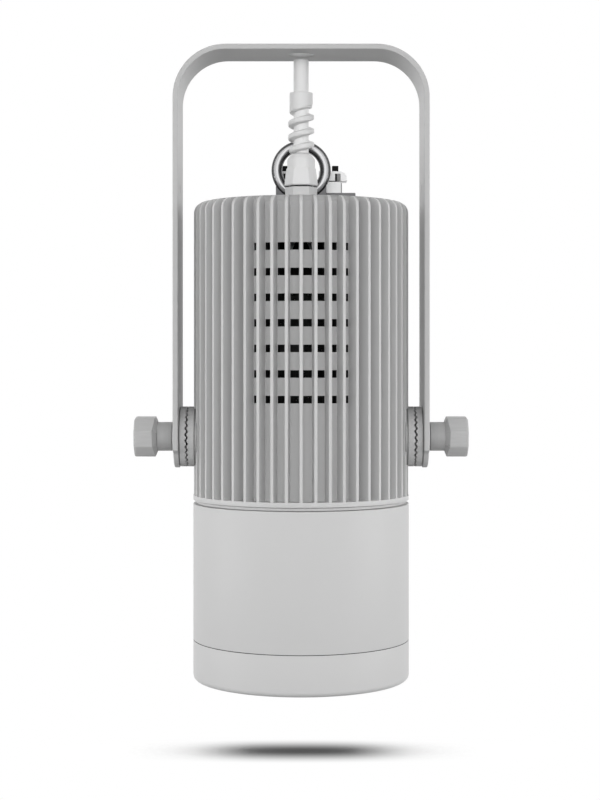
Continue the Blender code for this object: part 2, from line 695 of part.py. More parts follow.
def make_heatsink(head):
    """A tube with radial fins, a foot ring, side pads for the tilt discs and rows of vents."""
    low = SINK_BOTTOM + FOOT_HEIGHT / 2
    bore = around(ROUND, SINK_BORE_RADIUS)
    lift = Matrix.Translation((0.0, 0.0, (low + SINK_TOP) / 2))
    sink = flat_outline("heatsink", [fin_outline(), bore], SINK_TOP - low, head, CAST_SHADE, lift)
    foot_top = SINK_BOTTOM + FOOT_HEIGHT
    hub_top = SINK_BOTTOM + FOOT_HUB_HEIGHT
    hub_radius = (SINK_BORE_RADIUS + FIN_ROOT_RADIUS) / 2
    foot = [
        (FOOT_BORE_RADIUS, hub_top),
        (hub_radius, hub_top),
        (hub_radius, foot_top),
        (HOUSING_RADIUS, foot_top),
        (HOUSING_RADIUS, SINK_BOTTOM),
        (FOOT_BORE_RADIUS, SINK_BOTTOM),
    ]
    join(sink, turned("sink_foot", foot, head))
    bm = bmesh.new()
    for towards in (-1, 1):
        inner = towards * (SINK_BORE_RADIUS - CUT_PAST)
        add_rod(bm, PAD_RADIUS, (inner, 0, 0), (towards * DISC_SEAT_X, 0, 0), 20)
    for x, y in around(BOSS_COUNT, COVER_SCREW_CIRCLE):
        add_upright(bm, BOSS_RADIUS, x, y, COVER_BOTTOM - BOSS_HEIGHT, COVER_BOTTOM - SEAT_GAP, 10)
    join(sink, cutter_from("sink_pads_and_bosses", bm, head))
    cut(sink, crown_cutter(head))
    rabbet = rod_cutter("cover_rabbet", COVER_RADIUS + SEAT_GAP, (0, 0, COVER_BOTTOM - SEAT_GAP),
                        (0, 0, SINK_TOP + CUT_PAST), head, ROUND)
    cut(sink, rabbet)
    cut(sink, pocket_cutter(head))
    reach = YOKE_INNER_X
    bore = rod_cutter("sink_stud_holes", STUD_HOLE_RADIUS, (-reach, 0, 0), (reach, 0, 0), head)
    cut(sink, bore)
    cut(sink, vent_cutter(head))
    cut(sink, sink_screw_cutter(head))
    for modifier in sink.modifiers:
        modifier.solver = "MANIFOLD"


def crown_cutter(head):
    """Rounds the fins' top corners. Each of its facets lies square across one fin."""
    low = SINK_TOP - FIN_CROWN_RADIUS
    centre = FIN_TIP_RADIUS - FIN_CROWN_RADIUS
    outside = FIN_TIP_RADIUS + CUT_PAST
    profile = [(centre, SINK_TOP + CUT_PAST), (outside, SINK_TOP + CUT_PAST), (outside, low)]
    profile += arc(centre, low, FIN_CROWN_RADIUS, 0, 90, 3)
    widened = [(radius / math.cos(FIN_STEP / 2), height) for radius, height in profile]
    cutter = turned("crown_cutter", widened, head, None, FIN_COUNT)
    cutter.rotation_euler = (0.0, 0.0, FIN_STEP / 2)
    return cutter


def fin_outline():
    """The outer outline of the finned tube: square fins with flat channel floors."""
    half = FIN_THICKNESS / 2
    points = []
    for index in range(FIN_COUNT):
        angle = index * FIN_STEP
        root = math.asin(half / FIN_ROOT_RADIUS)
        tip = math.asin(half / FIN_TIP_RADIUS)
        for radius, offset in ((FIN_ROOT_RADIUS, -root), (FIN_TIP_RADIUS, -tip),
                               (FIN_TIP_RADIUS, tip), (FIN_ROOT_RADIUS, root)):
            points.append((radius * math.cos(angle + offset), radius * math.sin(angle + offset)))
    return points


def pocket_cutter(head):
    """Round pockets milled in the fins for the tilt discs."""
    bm = bmesh.new()
    radius = DISC_RADIUS + SEAT_GAP
    for towards in (-1, 1):
        add_rod(bm, radius, (towards * DISC_SEAT_X, 0, 0), (towards * YOKE_INNER_X, 0, 0), 30)
    return cutter_from("disc_pockets", bm, head)


def vent_cutter(head):
    """Square vents in the channel floors, in rows on the front and the rear."""
    bm = bmesh.new()
    half = VENT_SIZE / 2
    inner = SINK_BORE_RADIUS - CUT_PAST
    outer = FIN_ROOT_RADIUS + CUT_PAST
    for facing in (-math.pi / 2, math.pi / 2):
        for column in range(-VENTS_EACH_SIDE, VENTS_EACH_SIDE):
            angle = facing + (column + 0.5) * FIN_STEP
            spin = Matrix.Rotation(angle, 3, "Z")
            for row in range(VENT_ROWS):
                centre = VENT_TOP_ROW - row * VENT_PITCH
                made = add_box(bm, (inner, -half, centre - half), (outer, half, centre + half))
                bmesh.ops.rotate(bm, cent=(0, 0, 0), matrix=spin, verts=made)
    return cutter_from("vents", bm, head)


def sink_screw_cutter(head):
    """Threaded holes for the cover and lower housing screws."""
    bm = bmesh.new()
    radius = SCREW_RADIUS + HOLE_PLAY
    for x, y in around(BOSS_COUNT, COVER_SCREW_CIRCLE):
        add_upright(bm, radius, x, y, COVER_BOTTOM - BOSS_HEIGHT + CUT_PAST, SINK_TOP, TINY_ROUND)
    for x, y in housing_screw_spots():
        tip = SINK_BOTTOM + SCREW_HOLE_SHARE * FOOT_HUB_HEIGHT
        add_upright(bm, radius, x, y, SINK_BOTTOM - CUT_PAST, tip, TINY_ROUND)
    return cutter_from("sink_screw_holes", bm, head)


def add_screws(name, spots, seat, tip, parent):
    """Pan-head screws turned in one piece, with their heads seated at one height."""
    up = 1.0 if seat > tip else -1.0
    start = seat + up * SEAT_GAP
    end = start + up * SCREW_HEAD_HEIGHT
    profile = [(0.0, end), (SCREW_HEAD_RADIUS, end), (SCREW_HEAD_RADIUS, start)]
    profile += [(SCREW_RADIUS, start), (SCREW_RADIUS, tip), (0.0, tip)]
    if up < 0:
        profile.reverse()
    for number, (x, y) in enumerate(spots, 1):
        screw = turned(f"{name}_{number}", profile, parent, PLAIN_STEEL, TINY_ROUND)
        screw.location = (x, y, 0.0)


def housing_screw_spots():
    return around(HOUSING_SCREWS, HOUSING_SCREW_CIRCLE, math.pi / HOUSING_SCREWS)


def make_housing(head):
    """Lower housing: a tube with a clamping lip inside its top and the bezel's spigot below."""
    inner = HOUSING_RADIUS - HOUSING_WALL
    recess = PLATE_RADIUS + SEAT_GAP
    lip_high = PLATE_BOTTOM - SEAT_GAP
    lip_low = lip_high - HOUSING_LIP
    profile = [
        (recess, HOUSING_TOP),
        (HOUSING_RADIUS, HOUSING_TOP),
        (HOUSING_RADIUS, HOUSING_BOTTOM),
        (SPIGOT_RADIUS, HOUSING_BOTTOM),
        (SPIGOT_RADIUS, HOUSING_BOTTOM - SPIGOT_LENGTH),
        (inner, HOUSING_BOTTOM - SPIGOT_LENGTH),
        (inner, lip_low),
        (HOUSING_LIP_BORE, lip_low),
        (HOUSING_LIP_BORE, lip_high),
        (recess, lip_high),
    ]
    housing = turned("lower_housing", profile, head, POWDER_COAT)
    bm = bmesh.new()
    for x, y in housing_screw_spots():
        add_upright(bm, SCREW_RADIUS + HOLE_PLAY, x, y, lip_low - CUT_PAST, lip_high + CUT_PAST, TINY_ROUND)
    cut(housing, cutter_from("housing_screw_holes", bm, head))
    seal_low = HOUSING_TOP + SEAT_GAP
    seal = ring_profile(recess, SEAL_RADIUS, seal_low, PLATE_TOP)
    turned("housing_seal", seal, head, RUBBER, INNER_ROUND)
    tip = SINK_BOTTOM + SCREW_SHARE * FOOT_HUB_HEIGHT
    add_screws("housing_screw", housing_screw_spots(), lip_low, tip, head)


def make_bezel(head):
    """Screw-on bezel ring that carries the window against its gasket."""
    top = HOUSING_BOTTOM - SEAT_GAP
    socket = SPIGOT_RADIUS + SEAT_GAP
    step = HOUSING_BOTTOM - SPIGOT_LENGTH - SEAT_GAP
    pocket = HOUSING_RADIUS - HOUSING_WALL
    lip = BEZEL_BOTTOM + BEZEL_LIP
    profile = [(socket, top), (HOUSING_RADIUS, top)]
    profile += arc(HOUSING_RADIUS - BEZEL_EDGE, BEZEL_BOTTOM + BEZEL_EDGE, BEZEL_EDGE, 0, -90, 3)
    profile += [(BEZEL_APERTURE, BEZEL_BOTTOM), (BEZEL_APERTURE, lip), (pocket, lip)]
    profile += [(pocket, step), (socket, step)]
    turned("bezel", profile, head, POWDER_COAT)
    radius = pocket - SEAT_GAP
    bm = bmesh.new()
    add_upright(bm, radius, 0, 0, WINDOW_BOTTOM, WINDOW_BOTTOM + WINDOW_THICKNESS, INNER_ROUND)
    part_from("window", bm, CLEAR_GLASS, head)
    gasket = ring_profile(radius - GASKET_WIDTH, radius, GASKET_BOTTOM, GASKET_BOTTOM + GASKET_THICKNESS)
    turned("window_gasket", gasket, head, RUBBER, INNER_ROUND)
    baffle = ring_profile(BAFFLE_RADIUS - BAFFLE_WALL, BAFFLE_RADIUS, BAFFLE_BOTTOM, BAFFLE_TOP)
    turned("baffle_tube", baffle, head, BLACK_PLASTIC, INNER_ROUND)


def optic_spots():
    return [(0.0, 0.0)] + around(OPTIC_COUNT, OPTIC_CIRCLE)


def make_light_engine(head):
    """Heat spreader, LED board, moulded optics and the holder that clamps them."""
    bm = bmesh.new()
    add_upright(bm, PLATE_RADIUS, 0, 0, PLATE_BOTTOM, PLATE_TOP, INNER_ROUND)
    plate = part_from("heat_spreader", bm, BARE_ALUMINIUM, head)
    bm = bmesh.new()
    hole = SCREW_RADIUS + HOLE_PLAY
    for x, y in housing_screw_spots():
        add_upright(bm, hole, x, y, PLATE_BOTTOM - CUT_PAST, PLATE_TOP + CUT_PAST, TINY_ROUND)
    cut(plate, cutter_from("spreader_holes", bm, head))
    join(plate, fan_posts(head))
    bm = bmesh.new()
    add_upright(bm, LED_BOARD_RADIUS, 0, 0, LED_BOARD_BOTTOM, LED_BOARD_TOP, INNER_ROUND)
    board = part_from("led_board", bm, CIRCUIT_BOARD, head)
    half = EMITTER_SIZE / 2
    low = LED_BOARD_BOTTOM - EMITTER_HEIGHT
    high = LED_BOARD_BOTTOM + BOARD_THICKNESS / 2
    bm = bmesh.new()
    for x, y in optic_spots():
        add_box(bm, (x - half, y - half, low), (x + half, y + half, high))
    join(board, cutter_from("led_emitters", bm, head))
    low = OPTIC_TOP - OPTIC_HEIGHT
    bm = bmesh.new()
    add_upright(bm, OPTIC_WEB_RADIUS, 0, 0, low, low + OPTIC_WEB, INNER_ROUND)
    optics = part_from("optic_array", bm, CLEAR_GLASS, head)
    bm = bmesh.new()
    start = low + OPTIC_WEB / 2
    for x, y in optic_spots():
        add_rod(bm, OPTIC_RIM_RADIUS, (x, y, start), (x, y, OPTIC_TOP), SMALL_ROUND, OPTIC_TOP_RADIUS)
    join(optics, cutter_from("optic_bells", bm, head))
    bm = bmesh.new()
    hole = HOLDER_POST_RADIUS + HOLE_PLAY
    for x, y in holder_post_spots():
        add_upright(bm, hole, x, y, low - CUT_PAST, low + 2 * OPTIC_WEB, TINY_ROUND)
    cut(optics, cutter_from("optic_post_holes", bm, head))
    make_optic_holder(head)


def holder_post_spots():
    return around(OPTIC_COUNT, HOLDER_POST_CIRCLE, math.pi / OPTIC_COUNT)


def make_optic_holder(head):
    """Black plate under the optics, with six posts that press on the LED board."""
    bm = bmesh.new()
    low = HOLDER_TOP - HOLDER_THICKNESS
    add_upright(bm, BAFFLE_RADIUS, 0, 0, low, HOLDER_TOP, INNER_ROUND)
    holder = part_from("optic_holder", bm, BLACK_PLASTIC, head)
    bm = bmesh.new()
    for x, y in optic_spots():
        add_upright(bm, HOLDER_HOLE_RADIUS, x, y, low - CUT_PAST, HOLDER_TOP + CUT_PAST)
    cut(holder, cutter_from("holder_holes", bm, head))
    bm = bmesh.new()
    for x, y in holder_post_spots():
        start = HOLDER_TOP - HOLDER_THICKNESS / 2
        add_upright(bm, HOLDER_POST_RADIUS, x, y, start, LED_BOARD_BOTTOM - SEAT_GAP, TINY_ROUND)
    join(holder, cutter_from("holder_posts", bm, head))


def fan_posts(head):
    bm = bmesh.new()
    offset = FAN_SIZE / 2 - FAN_POST_INSET
    for x in (-offset, offset):
        for y in (-offset, offset):
            low = PLATE_TOP - PLATE_THICKNESS / 2
            add_upright(bm, FAN_POST_RADIUS, x, y, low, FAN_BOTTOM - SEAT_GAP, TINY_ROUND)
    return cutter_from("fan_posts", bm, head)


def make_fan(head):
    """Cooling fan: a square frame with a struts cross and a bladed rotor on its hub."""
    half = FAN_SIZE / 2
    top = FAN_BOTTOM + FAN_HEIGHT
    bm = bmesh.new()
    add_box(bm, (-half, -half, FAN_BOTTOM), (half, half, top))
    corners = [edge for edge in bm.edges if abs(edge.verts[0].co.z - edge.verts[1].co.z) > FAN_HEIGHT / 2]
    bmesh.ops.bevel(
        bm, geom=corners, offset=FAN_POST_INSET, segments=2, profile=0.5, affect="EDGES", material=-1
    )
    frame = part_from("fan_frame", bm, BLACK_PLASTIC, head)
    bore_low = (0, 0, FAN_BOTTOM - CUT_PAST)
    cut(frame, rod_cutter("fan_bore", FAN_BORE_RADIUS, bore_low, (0, 0, top + CUT_PAST), head, 24))
    strut_top = top - FAN_HUB_HEIGHT - 2 * SEAT_GAP
    bm = bmesh.new()
    add_rod(bm, FAN_HUB_RADIUS, (0, 0, FAN_BOTTOM), (0, 0, strut_top), 16)
    hub = cutter_from("fan_motor_seat", bm, head)
    bm = bmesh.new()
    reach = FAN_BORE_RADIUS + CUT_PAST
    strut = FAN_POST_RADIUS / 2
    add_box(bm, (-reach, -strut, FAN_BOTTOM + strut / 2), (reach, strut, strut_top - strut / 2))
    join(frame, cutter_from("fan_struts", bm, head))
    join(frame, hub)
    bm = bmesh.new()
    hub_low = strut_top + SEAT_GAP
    add_rod(bm, FAN_HUB_RADIUS, (0, 0, hub_low), (0, 0, hub_low + FAN_HUB_HEIGHT), 16)
    spin_axis = joint_empty("fan_axis", (0.0, 0.0, 0.0))
    spin_axis.parent = head
    rotor = part_from("fan_rotor", bm, BLACK_PLASTIC, spin_axis)
    bm = bmesh.new()
    middle = strut_top + SEAT_GAP + FAN_HUB_HEIGHT / 2
    length = FAN_BLADE_REACH - FAN_HUB_RADIUS + CUT_PAST
    chord = FAN_BLADE_SHARE * FAN_HUB_HEIGHT / math.sin(FAN_BLADE_TILT) / 2
    for index in range(FAN_BLADES):
        thin = FAN_BLADE_THICKNESS / 2
        blade = add_box(bm, (-length / 2, -chord, -thin), (length / 2, chord, thin))
        tilt = Matrix.Rotation(FAN_BLADE_TILT, 3, "X")
        bmesh.ops.rotate(bm, cent=(0, 0, 0), matrix=tilt, verts=blade)
        bmesh.ops.translate(bm, vec=(FAN_BLADE_REACH - length / 2 - 2 * CUT_PAST, 0, middle), verts=blade)
        spin = Matrix.Rotation(2 * math.pi * index / FAN_BLADES, 3, "Z")
        bmesh.ops.rotate(bm, cent=(0, 0, 0), matrix=spin, verts=blade)
    join(rotor, cutter_from("fan_blades", bm, spin_axis))


def make_electronics(head):
    """A hung chassis plate with the power board in front and the control board behind."""
    half = CHASSIS_WIDTH / 2
    thin = CHASSIS_THICKNESS / 2
    bm = bmesh.new()
    add_box(bm, (-half, -thin, CHASSIS_BOTTOM), (half, thin, CHASSIS_TOP - thin))
    chassis = part_from("chassis", bm, BARE_ALUMINIUM, head)
    bm = bmesh.new()
    foot_low = CHASSIS_TOP - CHASSIS_THICKNESS
    depth = CHASSIS_FOOT_DEPTH / 2
    for side in (-1, 1):
        ends = sorted((side * (half + CUT_PAST), side * (half - CHASSIS_FOOT_WIDTH)))
        add_box(bm, (ends[0], -depth, foot_low), (ends[1], depth, CHASSIS_TOP))
    join(chassis, cutter_from("chassis_feet", bm, head))
    bm = bmesh.new()
    for x in (-SPACER_OFFSET_X, SPACER_OFFSET_X):
        add_upright(bm, SPACER_RADIUS, x, 0, CHASSIS_TOP - thin, COVER_BOTTOM - SEAT_GAP, 6)
    board_half = BOARD_WIDTH / 2
    face = thin + BOARD_STANDOFF
    for x in (-STANDOFF_SPREAD * board_half, STANDOFF_SPREAD * board_half):
        for share in STANDOFF_SHARES:
            z = BOARD_BOTTOM + share * BOARD_HEIGHT
            add_rod(bm, SPACER_RADIUS, (x, SEAT_GAP - face, z), (x, face - SEAT_GAP, z), 6)
    join(chassis, cutter_from("chassis_standoffs", bm, head))
    for name, towards in (("power_board", -1), ("control_board", 1)):
        sides = sorted((towards * face, towards * (face + BOARD_THICKNESS)))
        bm = bmesh.new()
        high = BOARD_BOTTOM + BOARD_HEIGHT
        add_box(bm, (-board_half, sides[0], BOARD_BOTTOM), (board_half, sides[1], high))
        board = part_from(name, bm, CIRCUIT_BOARD, head)
    make_chips(board, face + BOARD_THICKNESS, head)
    make_components(head, face + BOARD_THICKNESS + SEAT_GAP)


def make_chips(board, face, head):
    """Two driver chips soldered on the control board."""
    bm = bmesh.new()
    low = BOARD_BOTTOM + CHIP_SHARE * BOARD_HEIGHT
    half = CHIP_SIZE / 2
    for x in (CHIP_LEFT_X, CHIP_RIGHT_X):
        start = face - BOARD_THICKNESS / 2
        add_box(bm, (x - half, start, low), (x + half, face + CHIP_HEIGHT, low + CHIP_SIZE))
    join(board, cutter_from("driver_chips", bm, head))


def make_components(head, face):
    """The larger parts on the power board, each seated on its front face."""
    low = BOARD_BOTTOM + COMPONENT_SHARE * BOARD_HEIGHT
    high = low + TRANSFORMER_HEIGHT
    half = TRANSFORMER_WIDTH / 2
    bm = bmesh.new()
    front = -face - TRANSFORMER_DEPTH
    add_box(bm, (TRANSFORMER_X - half, front, low), (TRANSFORMER_X + half, -face, high))
    part_from("transformer", bm, COPPER_BROWN, head)
    bm = bmesh.new()
    front = -face - CAPACITOR_LENGTH
    add_rod(bm, CAPACITOR_RADIUS, (CAPACITOR_X, -face, low), (CAPACITOR_X, front, low), 16)
    part_from("capacitor", bm, BLACK_PLASTIC, head)
    half = TERMINAL_WIDTH / 2
    bm = bmesh.new()
    add_box(bm, (-half, -face - TERMINAL_SIZE, TERMINAL_TOP - TERMINAL_SIZE), (half, -face, TERMINAL_TOP))
    part_from("terminal_block", bm, BLACK_PLASTIC, head)


def make_cover(head):
    """Flush disc in the top of the heatsink, with every opening that passes through it."""
    bm = bmesh.new()
    add_upright(bm, COVER_RADIUS, 0, 0, COVER_BOTTOM, SINK_TOP, ROUND)
    cover = part_from("top_cover", bm, CAST_SHADE, head)
    low = COVER_BOTTOM - CUT_PAST
    high = SINK_TOP + CUT_PAST
    spots = around(BOSS_COUNT, COVER_SCREW_CIRCLE)
    sink_depth = SCREW_HEAD_HEIGHT + 2 * SEAT_GAP
    bm = bmesh.new()
    add_upright(bm, GLAND_THREAD_RADIUS + HOLE_PLAY, 0, 0, low, high)
    for x, y in spots:
        add_upright(bm, SCREW_HEAD_RADIUS + HOLE_PLAY, x, y, SINK_TOP - sink_depth, high, TINY_ROUND)
    for x in (-EYE_SCREW_OFFSET, EYE_SCREW_OFFSET):
        add_upright(bm, SCREW_RADIUS + HOLE_PLAY, x, EYE_Y, low, high, TINY_ROUND)
    for x in rail_screw_spots():
        add_upright(bm, SCREW_RADIUS + HOLE_PLAY, x, SOCKET_Y, low, high, TINY_ROUND)
    add_socket_wells(bm, low, high)
    cut(cover, cutter_from("cover_holes", bm, head))
    bm = bmesh.new()
    for x, y in spots:
        add_upright(bm, SCREW_RADIUS + HOLE_PLAY, x, y, low, SINK_TOP, TINY_ROUND)
    cut(cover, cutter_from("cover_screw_holes", bm, head))
    add_screws("cover_screw", spots, SINK_TOP - sink_depth, COVER_BOTTOM - SCREW_SHARE * BOSS_HEIGHT, head)


def rail_screw_spots():
    return (RAIL_CENTRE_X - RAIL_SCREW_OFFSET, RAIL_CENTRE_X + RAIL_SCREW_OFFSET)


def add_socket_wells(bm, low, high):
    half_x = SOCKET_WIDTH / 2 + SEAT_GAP
    half_y = SOCKET_DEPTH / 2 + SEAT_GAP
    for x in (SOCKET_LEFT_X, SOCKET_RIGHT_X):
        add_box(bm, (x - half_x, SOCKET_Y - half_y, low), (x + half_x, SOCKET_Y + half_y, high))


def make_gland(head):
    """Cable gland: hex body through the cover, locknut under it, dome nut and seal above."""
    passage = CABLE_PASSAGE
    body_low = SINK_TOP + SEAT_GAP
    thread_low = body_low - GLAND_THREAD_BELOW
    flange = GLAND_BODY_RADIUS
    profile = [
        (passage, GLAND_NECK_TOP),
        (GLAND_NECK_RADIUS, GLAND_NECK_TOP),
        (GLAND_NECK_RADIUS, GLAND_BODY_TOP),
        (flange, GLAND_BODY_TOP),
        (flange, body_low),
        (GLAND_THREAD_RADIUS, body_low),
        (GLAND_THREAD_RADIUS, thread_low),
        (passage, thread_low),
    ]
    body = turned("gland_body", profile, head, LIGHT_PLASTIC, 20)
    bm = bmesh.new()
    add_upright(bm, flange, 0, 0, thread_low - CUT_PAST, GLAND_NECK_TOP + CUT_PAST, 6)
    combine(body, cutter_from("gland_body_flats", bm, head), "INTERSECT")
    bm = bmesh.new()
    nut_top = COVER_BOTTOM - SEAT_GAP
    add_upright(bm, LOCKNUT_RADIUS, 0, 0, nut_top - LOCKNUT_HEIGHT, nut_top, 6)
    locknut = part_from("gland_locknut", bm, PLAIN_STEEL, head)
    cut(locknut, rod_cutter("locknut_bore", GLAND_THREAD_RADIUS + HOLE_PLAY,
                            (0, 0, nut_top - LOCKNUT_HEIGHT - CUT_PAST), (0, 0, nut_top + CUT_PAST), head))
    neck_bore = GLAND_NECK_RADIUS + HOLE_PLAY
    seal_low = GLAND_NECK_TOP + SEAT_GAP
    seal_high = seal_low + SEAL_HEIGHT
    bm = bmesh.new()
    add_upright(bm, GLAND_NUT_RADIUS, 0, 0, GLAND_NUT_BOTTOM, GLAND_HEX_TOP, 6)
    nut = part_from("gland_nut", bm, LIGHT_PLASTIC, head)
    dome = [(0.0, GLAND_DOME_TOP)]
    edge = GLAND_DOME_EDGE
    dome += arc(GLAND_DOME_RADIUS - edge, GLAND_DOME_TOP - edge, edge, 90, 0, 3)
    dome += [(GLAND_DOME_RADIUS, GLAND_HEX_TOP - CUT_PAST), (0.0, GLAND_HEX_TOP - CUT_PAST)]
    join(nut, turned("gland_dome", dome, head, None, 20))
    hollow = [
        (0.0, GLAND_DOME_TOP + CUT_PAST),
        (passage, GLAND_DOME_TOP + CUT_PAST),
        (passage, seal_high + SEAT_GAP),
        (neck_bore, seal_high + SEAT_GAP),
        (neck_bore, GLAND_NUT_BOTTOM - CUT_PAST),
        (0.0, GLAND_NUT_BOTTOM - CUT_PAST),
    ]
    cut(nut, turned("gland_hollow", hollow, head, None, 20))
    turned("gland_seal", ring_profile(passage, GLAND_NECK_RADIUS, seal_low, seal_high), head, RUBBER, 20)


def make_cables(head):
    """Supply cable above the gland, and its run inside, stripped to three leads."""
    free_low = GLAND_DOME_TOP + SEAT_GAP
    stripped = SINK_TOP - GLAND_THREAD_BELOW - 2 * SEAT_GAP
    bm = bmesh.new()
    add_upright(bm, CABLE_RADIUS, 0, 0, free_low, CABLE_END, 12)
    part_from("supply_cable", bm, LIGHT_PLASTIC, head)
    bm = bmesh.new()
    add_upright(bm, CABLE_RADIUS, 0, 0, stripped, free_low - SEAT_GAP, 12)
    tail = part_from("inner_cable", bm, LIGHT_PLASTIC, head)
    board_face = CHASSIS_THICKNESS / 2 + BOARD_STANDOFF + BOARD_THICKNESS + SEAT_GAP
    block_y = -(board_face + TERMINAL_SIZE / 2)
    for index in (-1, 0, 1):
        start_y = LEAD_SPREAD / 2 if index else -LEAD_SPREAD
        start = Vector((index * LEAD_SPREAD, start_y, stripped + LEAD_RADIUS))
        end = Vector((index * 4 * LEAD_SPREAD, block_y, TERMINAL_TOP + SEAT_GAP))
        join(tail, tube_along(f"lead_{index + 2}", lead_route(start, end), LEAD_RADIUS, head, None))


def lead_route(start, end):
    """Points from the stripped sheath down to a terminal, upright at both ends."""
    points = []
    for step in range(LEAD_STEPS + 1):
        share = step / LEAD_STEPS
        ease = share * share * (3 - 2 * share)
        across = start.lerp(end, ease)
        points.append((across.x, across.y, start.z + (end.z - start.z) * share))
    return points


def guard_route():
    """The spiral guard's centre line: straight up from the nut, round the cable, into the collar."""
    straight = 2 * GUARD_WIRE_RADIUS
    low = GLAND_DOME_TOP + SEAT_GAP
    spiral_low = low + straight
    rise = GUARD_PITCH * GUARD_TURNS
    count = round(GUARD_TURNS * GUARD_POINTS_PER_TURN)
    points = [(0.0, -GUARD_CURL_RADIUS, low)]
    for index in range(count + 1):
        share = index / count
        angle = -math.pi / 2 + 2 * math.pi * GUARD_TURNS * share
        points.append((
            GUARD_CURL_RADIUS * math.cos(angle),
            GUARD_CURL_RADIUS * math.sin(angle),
            spiral_low + rise * share,
        ))
    last = points[-1]
    points.append((last[0], last[1], last[2] + straight))
    return points


def make_guard(head):
    """Moulded strain guard: a collar at the top and an open spiral down to the nut."""
    route = guard_route()
    print_spiral_gap(route)
    guard = tube_along("spiral_guard", route, GUARD_WIRE_RADIUS, head, LIGHT_PLASTIC)
    collar_low = route[-1][2] - GUARD_WIRE_RADIUS
    collar_top = collar_low + GUARD_COLLAR_HEIGHT
    collar = ring_profile(CABLE_PASSAGE, GUARD_COLLAR_RADIUS, collar_low, collar_top)
    join(guard, turned("guard_collar", collar, head, None, 20))


def print_spiral_gap(route):
    """Prints the least clear space between one turn of the guard and the next."""
    apart = GUARD_POINTS_PER_TURN // 2
    least = min(
        (Vector(first) - Vector(second)).length
        for index, first in enumerate(route)
        for second in route[index + apart:]
    )
    print(f"spiral guard: least gap between turns {1000 * (least - 2 * GUARD_WIRE_RADIUS):.2f} mm")


def make_safety_eye(head):
    """Steel eye for the safety bond, screwed into a block that is bolted through the cover."""
    low = SINK_TOP + SEAT_GAP
    high = low + EYE_BASE_HEIGHT
    half = EYE_BASE_WIDTH / 2
    deep = EYE_BASE_DEPTH / 2
    bm = bmesh.new()
    add_box(bm, (-half, EYE_Y - deep, low), (half, EYE_Y + deep, high))
    base = part_from("eye_base", bm, DARK_METAL, head)
    cut(base, eye_ring_tool("eye_slot", EYE_WIRE_RADIUS + HOLE_PLAY, head))
    shank_low = low + EYE_SHANK_SHARE * EYE_BASE_HEIGHT
    bm = bmesh.new()
    tip = EYE_CENTRE_Z - EYE_RING_RADIUS
    add_upright(bm, EYE_SHANK_RADIUS + HOLE_PLAY, 0, EYE_Y, shank_low - SEAT_GAP, tip, 16)
    for x in (-EYE_SCREW_OFFSET, EYE_SCREW_OFFSET):
        depth = low + EYE_HOLE_SHARE * EYE_BASE_HEIGHT
        add_upright(bm, SCREW_RADIUS + HOLE_PLAY, x, EYE_Y, low - CUT_PAST, depth, TINY_ROUND)
    cut(base, cutter_from("eye_base_holes", bm, head))
    bm = bmesh.new()
    add_upright(bm, EYE_SHANK_RADIUS, 0, EYE_Y, shank_low, tip, 16)
    eye = part_from("safety_eye", bm, POLISHED_STEEL, head)
    join(eye, eye_ring_tool("eye_ring", EYE_WIRE_RADIUS, head))
    spots = [(-EYE_SCREW_OFFSET, EYE_Y), (EYE_SCREW_OFFSET, EYE_Y)]
    add_screws("eye_screw", spots, COVER_BOTTOM, low + EYE_SCREW_SHARE * EYE_BASE_HEIGHT, head)


def eye_ring_tool(name, wire_radius, head):
    """A ring that stands upright, facing the front."""
    profile = [(EYE_RING_RADIUS + x, z) for x, z in arc(0.0, 0.0, wire_radius, 90, -225, 7)]
    ring = turned(name, profile, head, None, 24)
    ring.rotation_euler = (math.pi / 2, 0.0, 0.0)
    ring.location = (0.0, EYE_Y, EYE_CENTRE_Z)
    return ring


def make_sockets(head):
    """The rail under the sockets, both sockets with flip caps, and the rail's screws."""
    low = SINK_TOP + SEAT_GAP
    high = low + RAIL_THICKNESS
    bm = bmesh.new()
    half = RAIL_WIDTH / 2
    deep = RAIL_DEPTH / 2
    middle = RAIL_CENTRE_X
    add_box(bm, (middle - half, SOCKET_Y - deep, low), (middle + half, SOCKET_Y + deep, high))
    rail = part_from("socket_rail", bm, DARK_METAL, head)
    bm = bmesh.new()
    add_socket_wells(bm, low - CUT_PAST, high + CUT_PAST)
    for x in rail_screw_spots():
        add_upright(bm, SCREW_RADIUS + HOLE_PLAY, x, SOCKET_Y, low - CUT_PAST, high + CUT_PAST, TINY_ROUND)
    cut(rail, cutter_from("rail_holes", bm, head))
    spots = [(x, SOCKET_Y) for x in rail_screw_spots()]
    add_screws("rail_screw", spots, high, COVER_BOTTOM - CUT_PAST, head)
    make_socket("left", SOCKET_LEFT_X, -1, head)
    make_socket("right", SOCKET_RIGHT_X, 1, head)


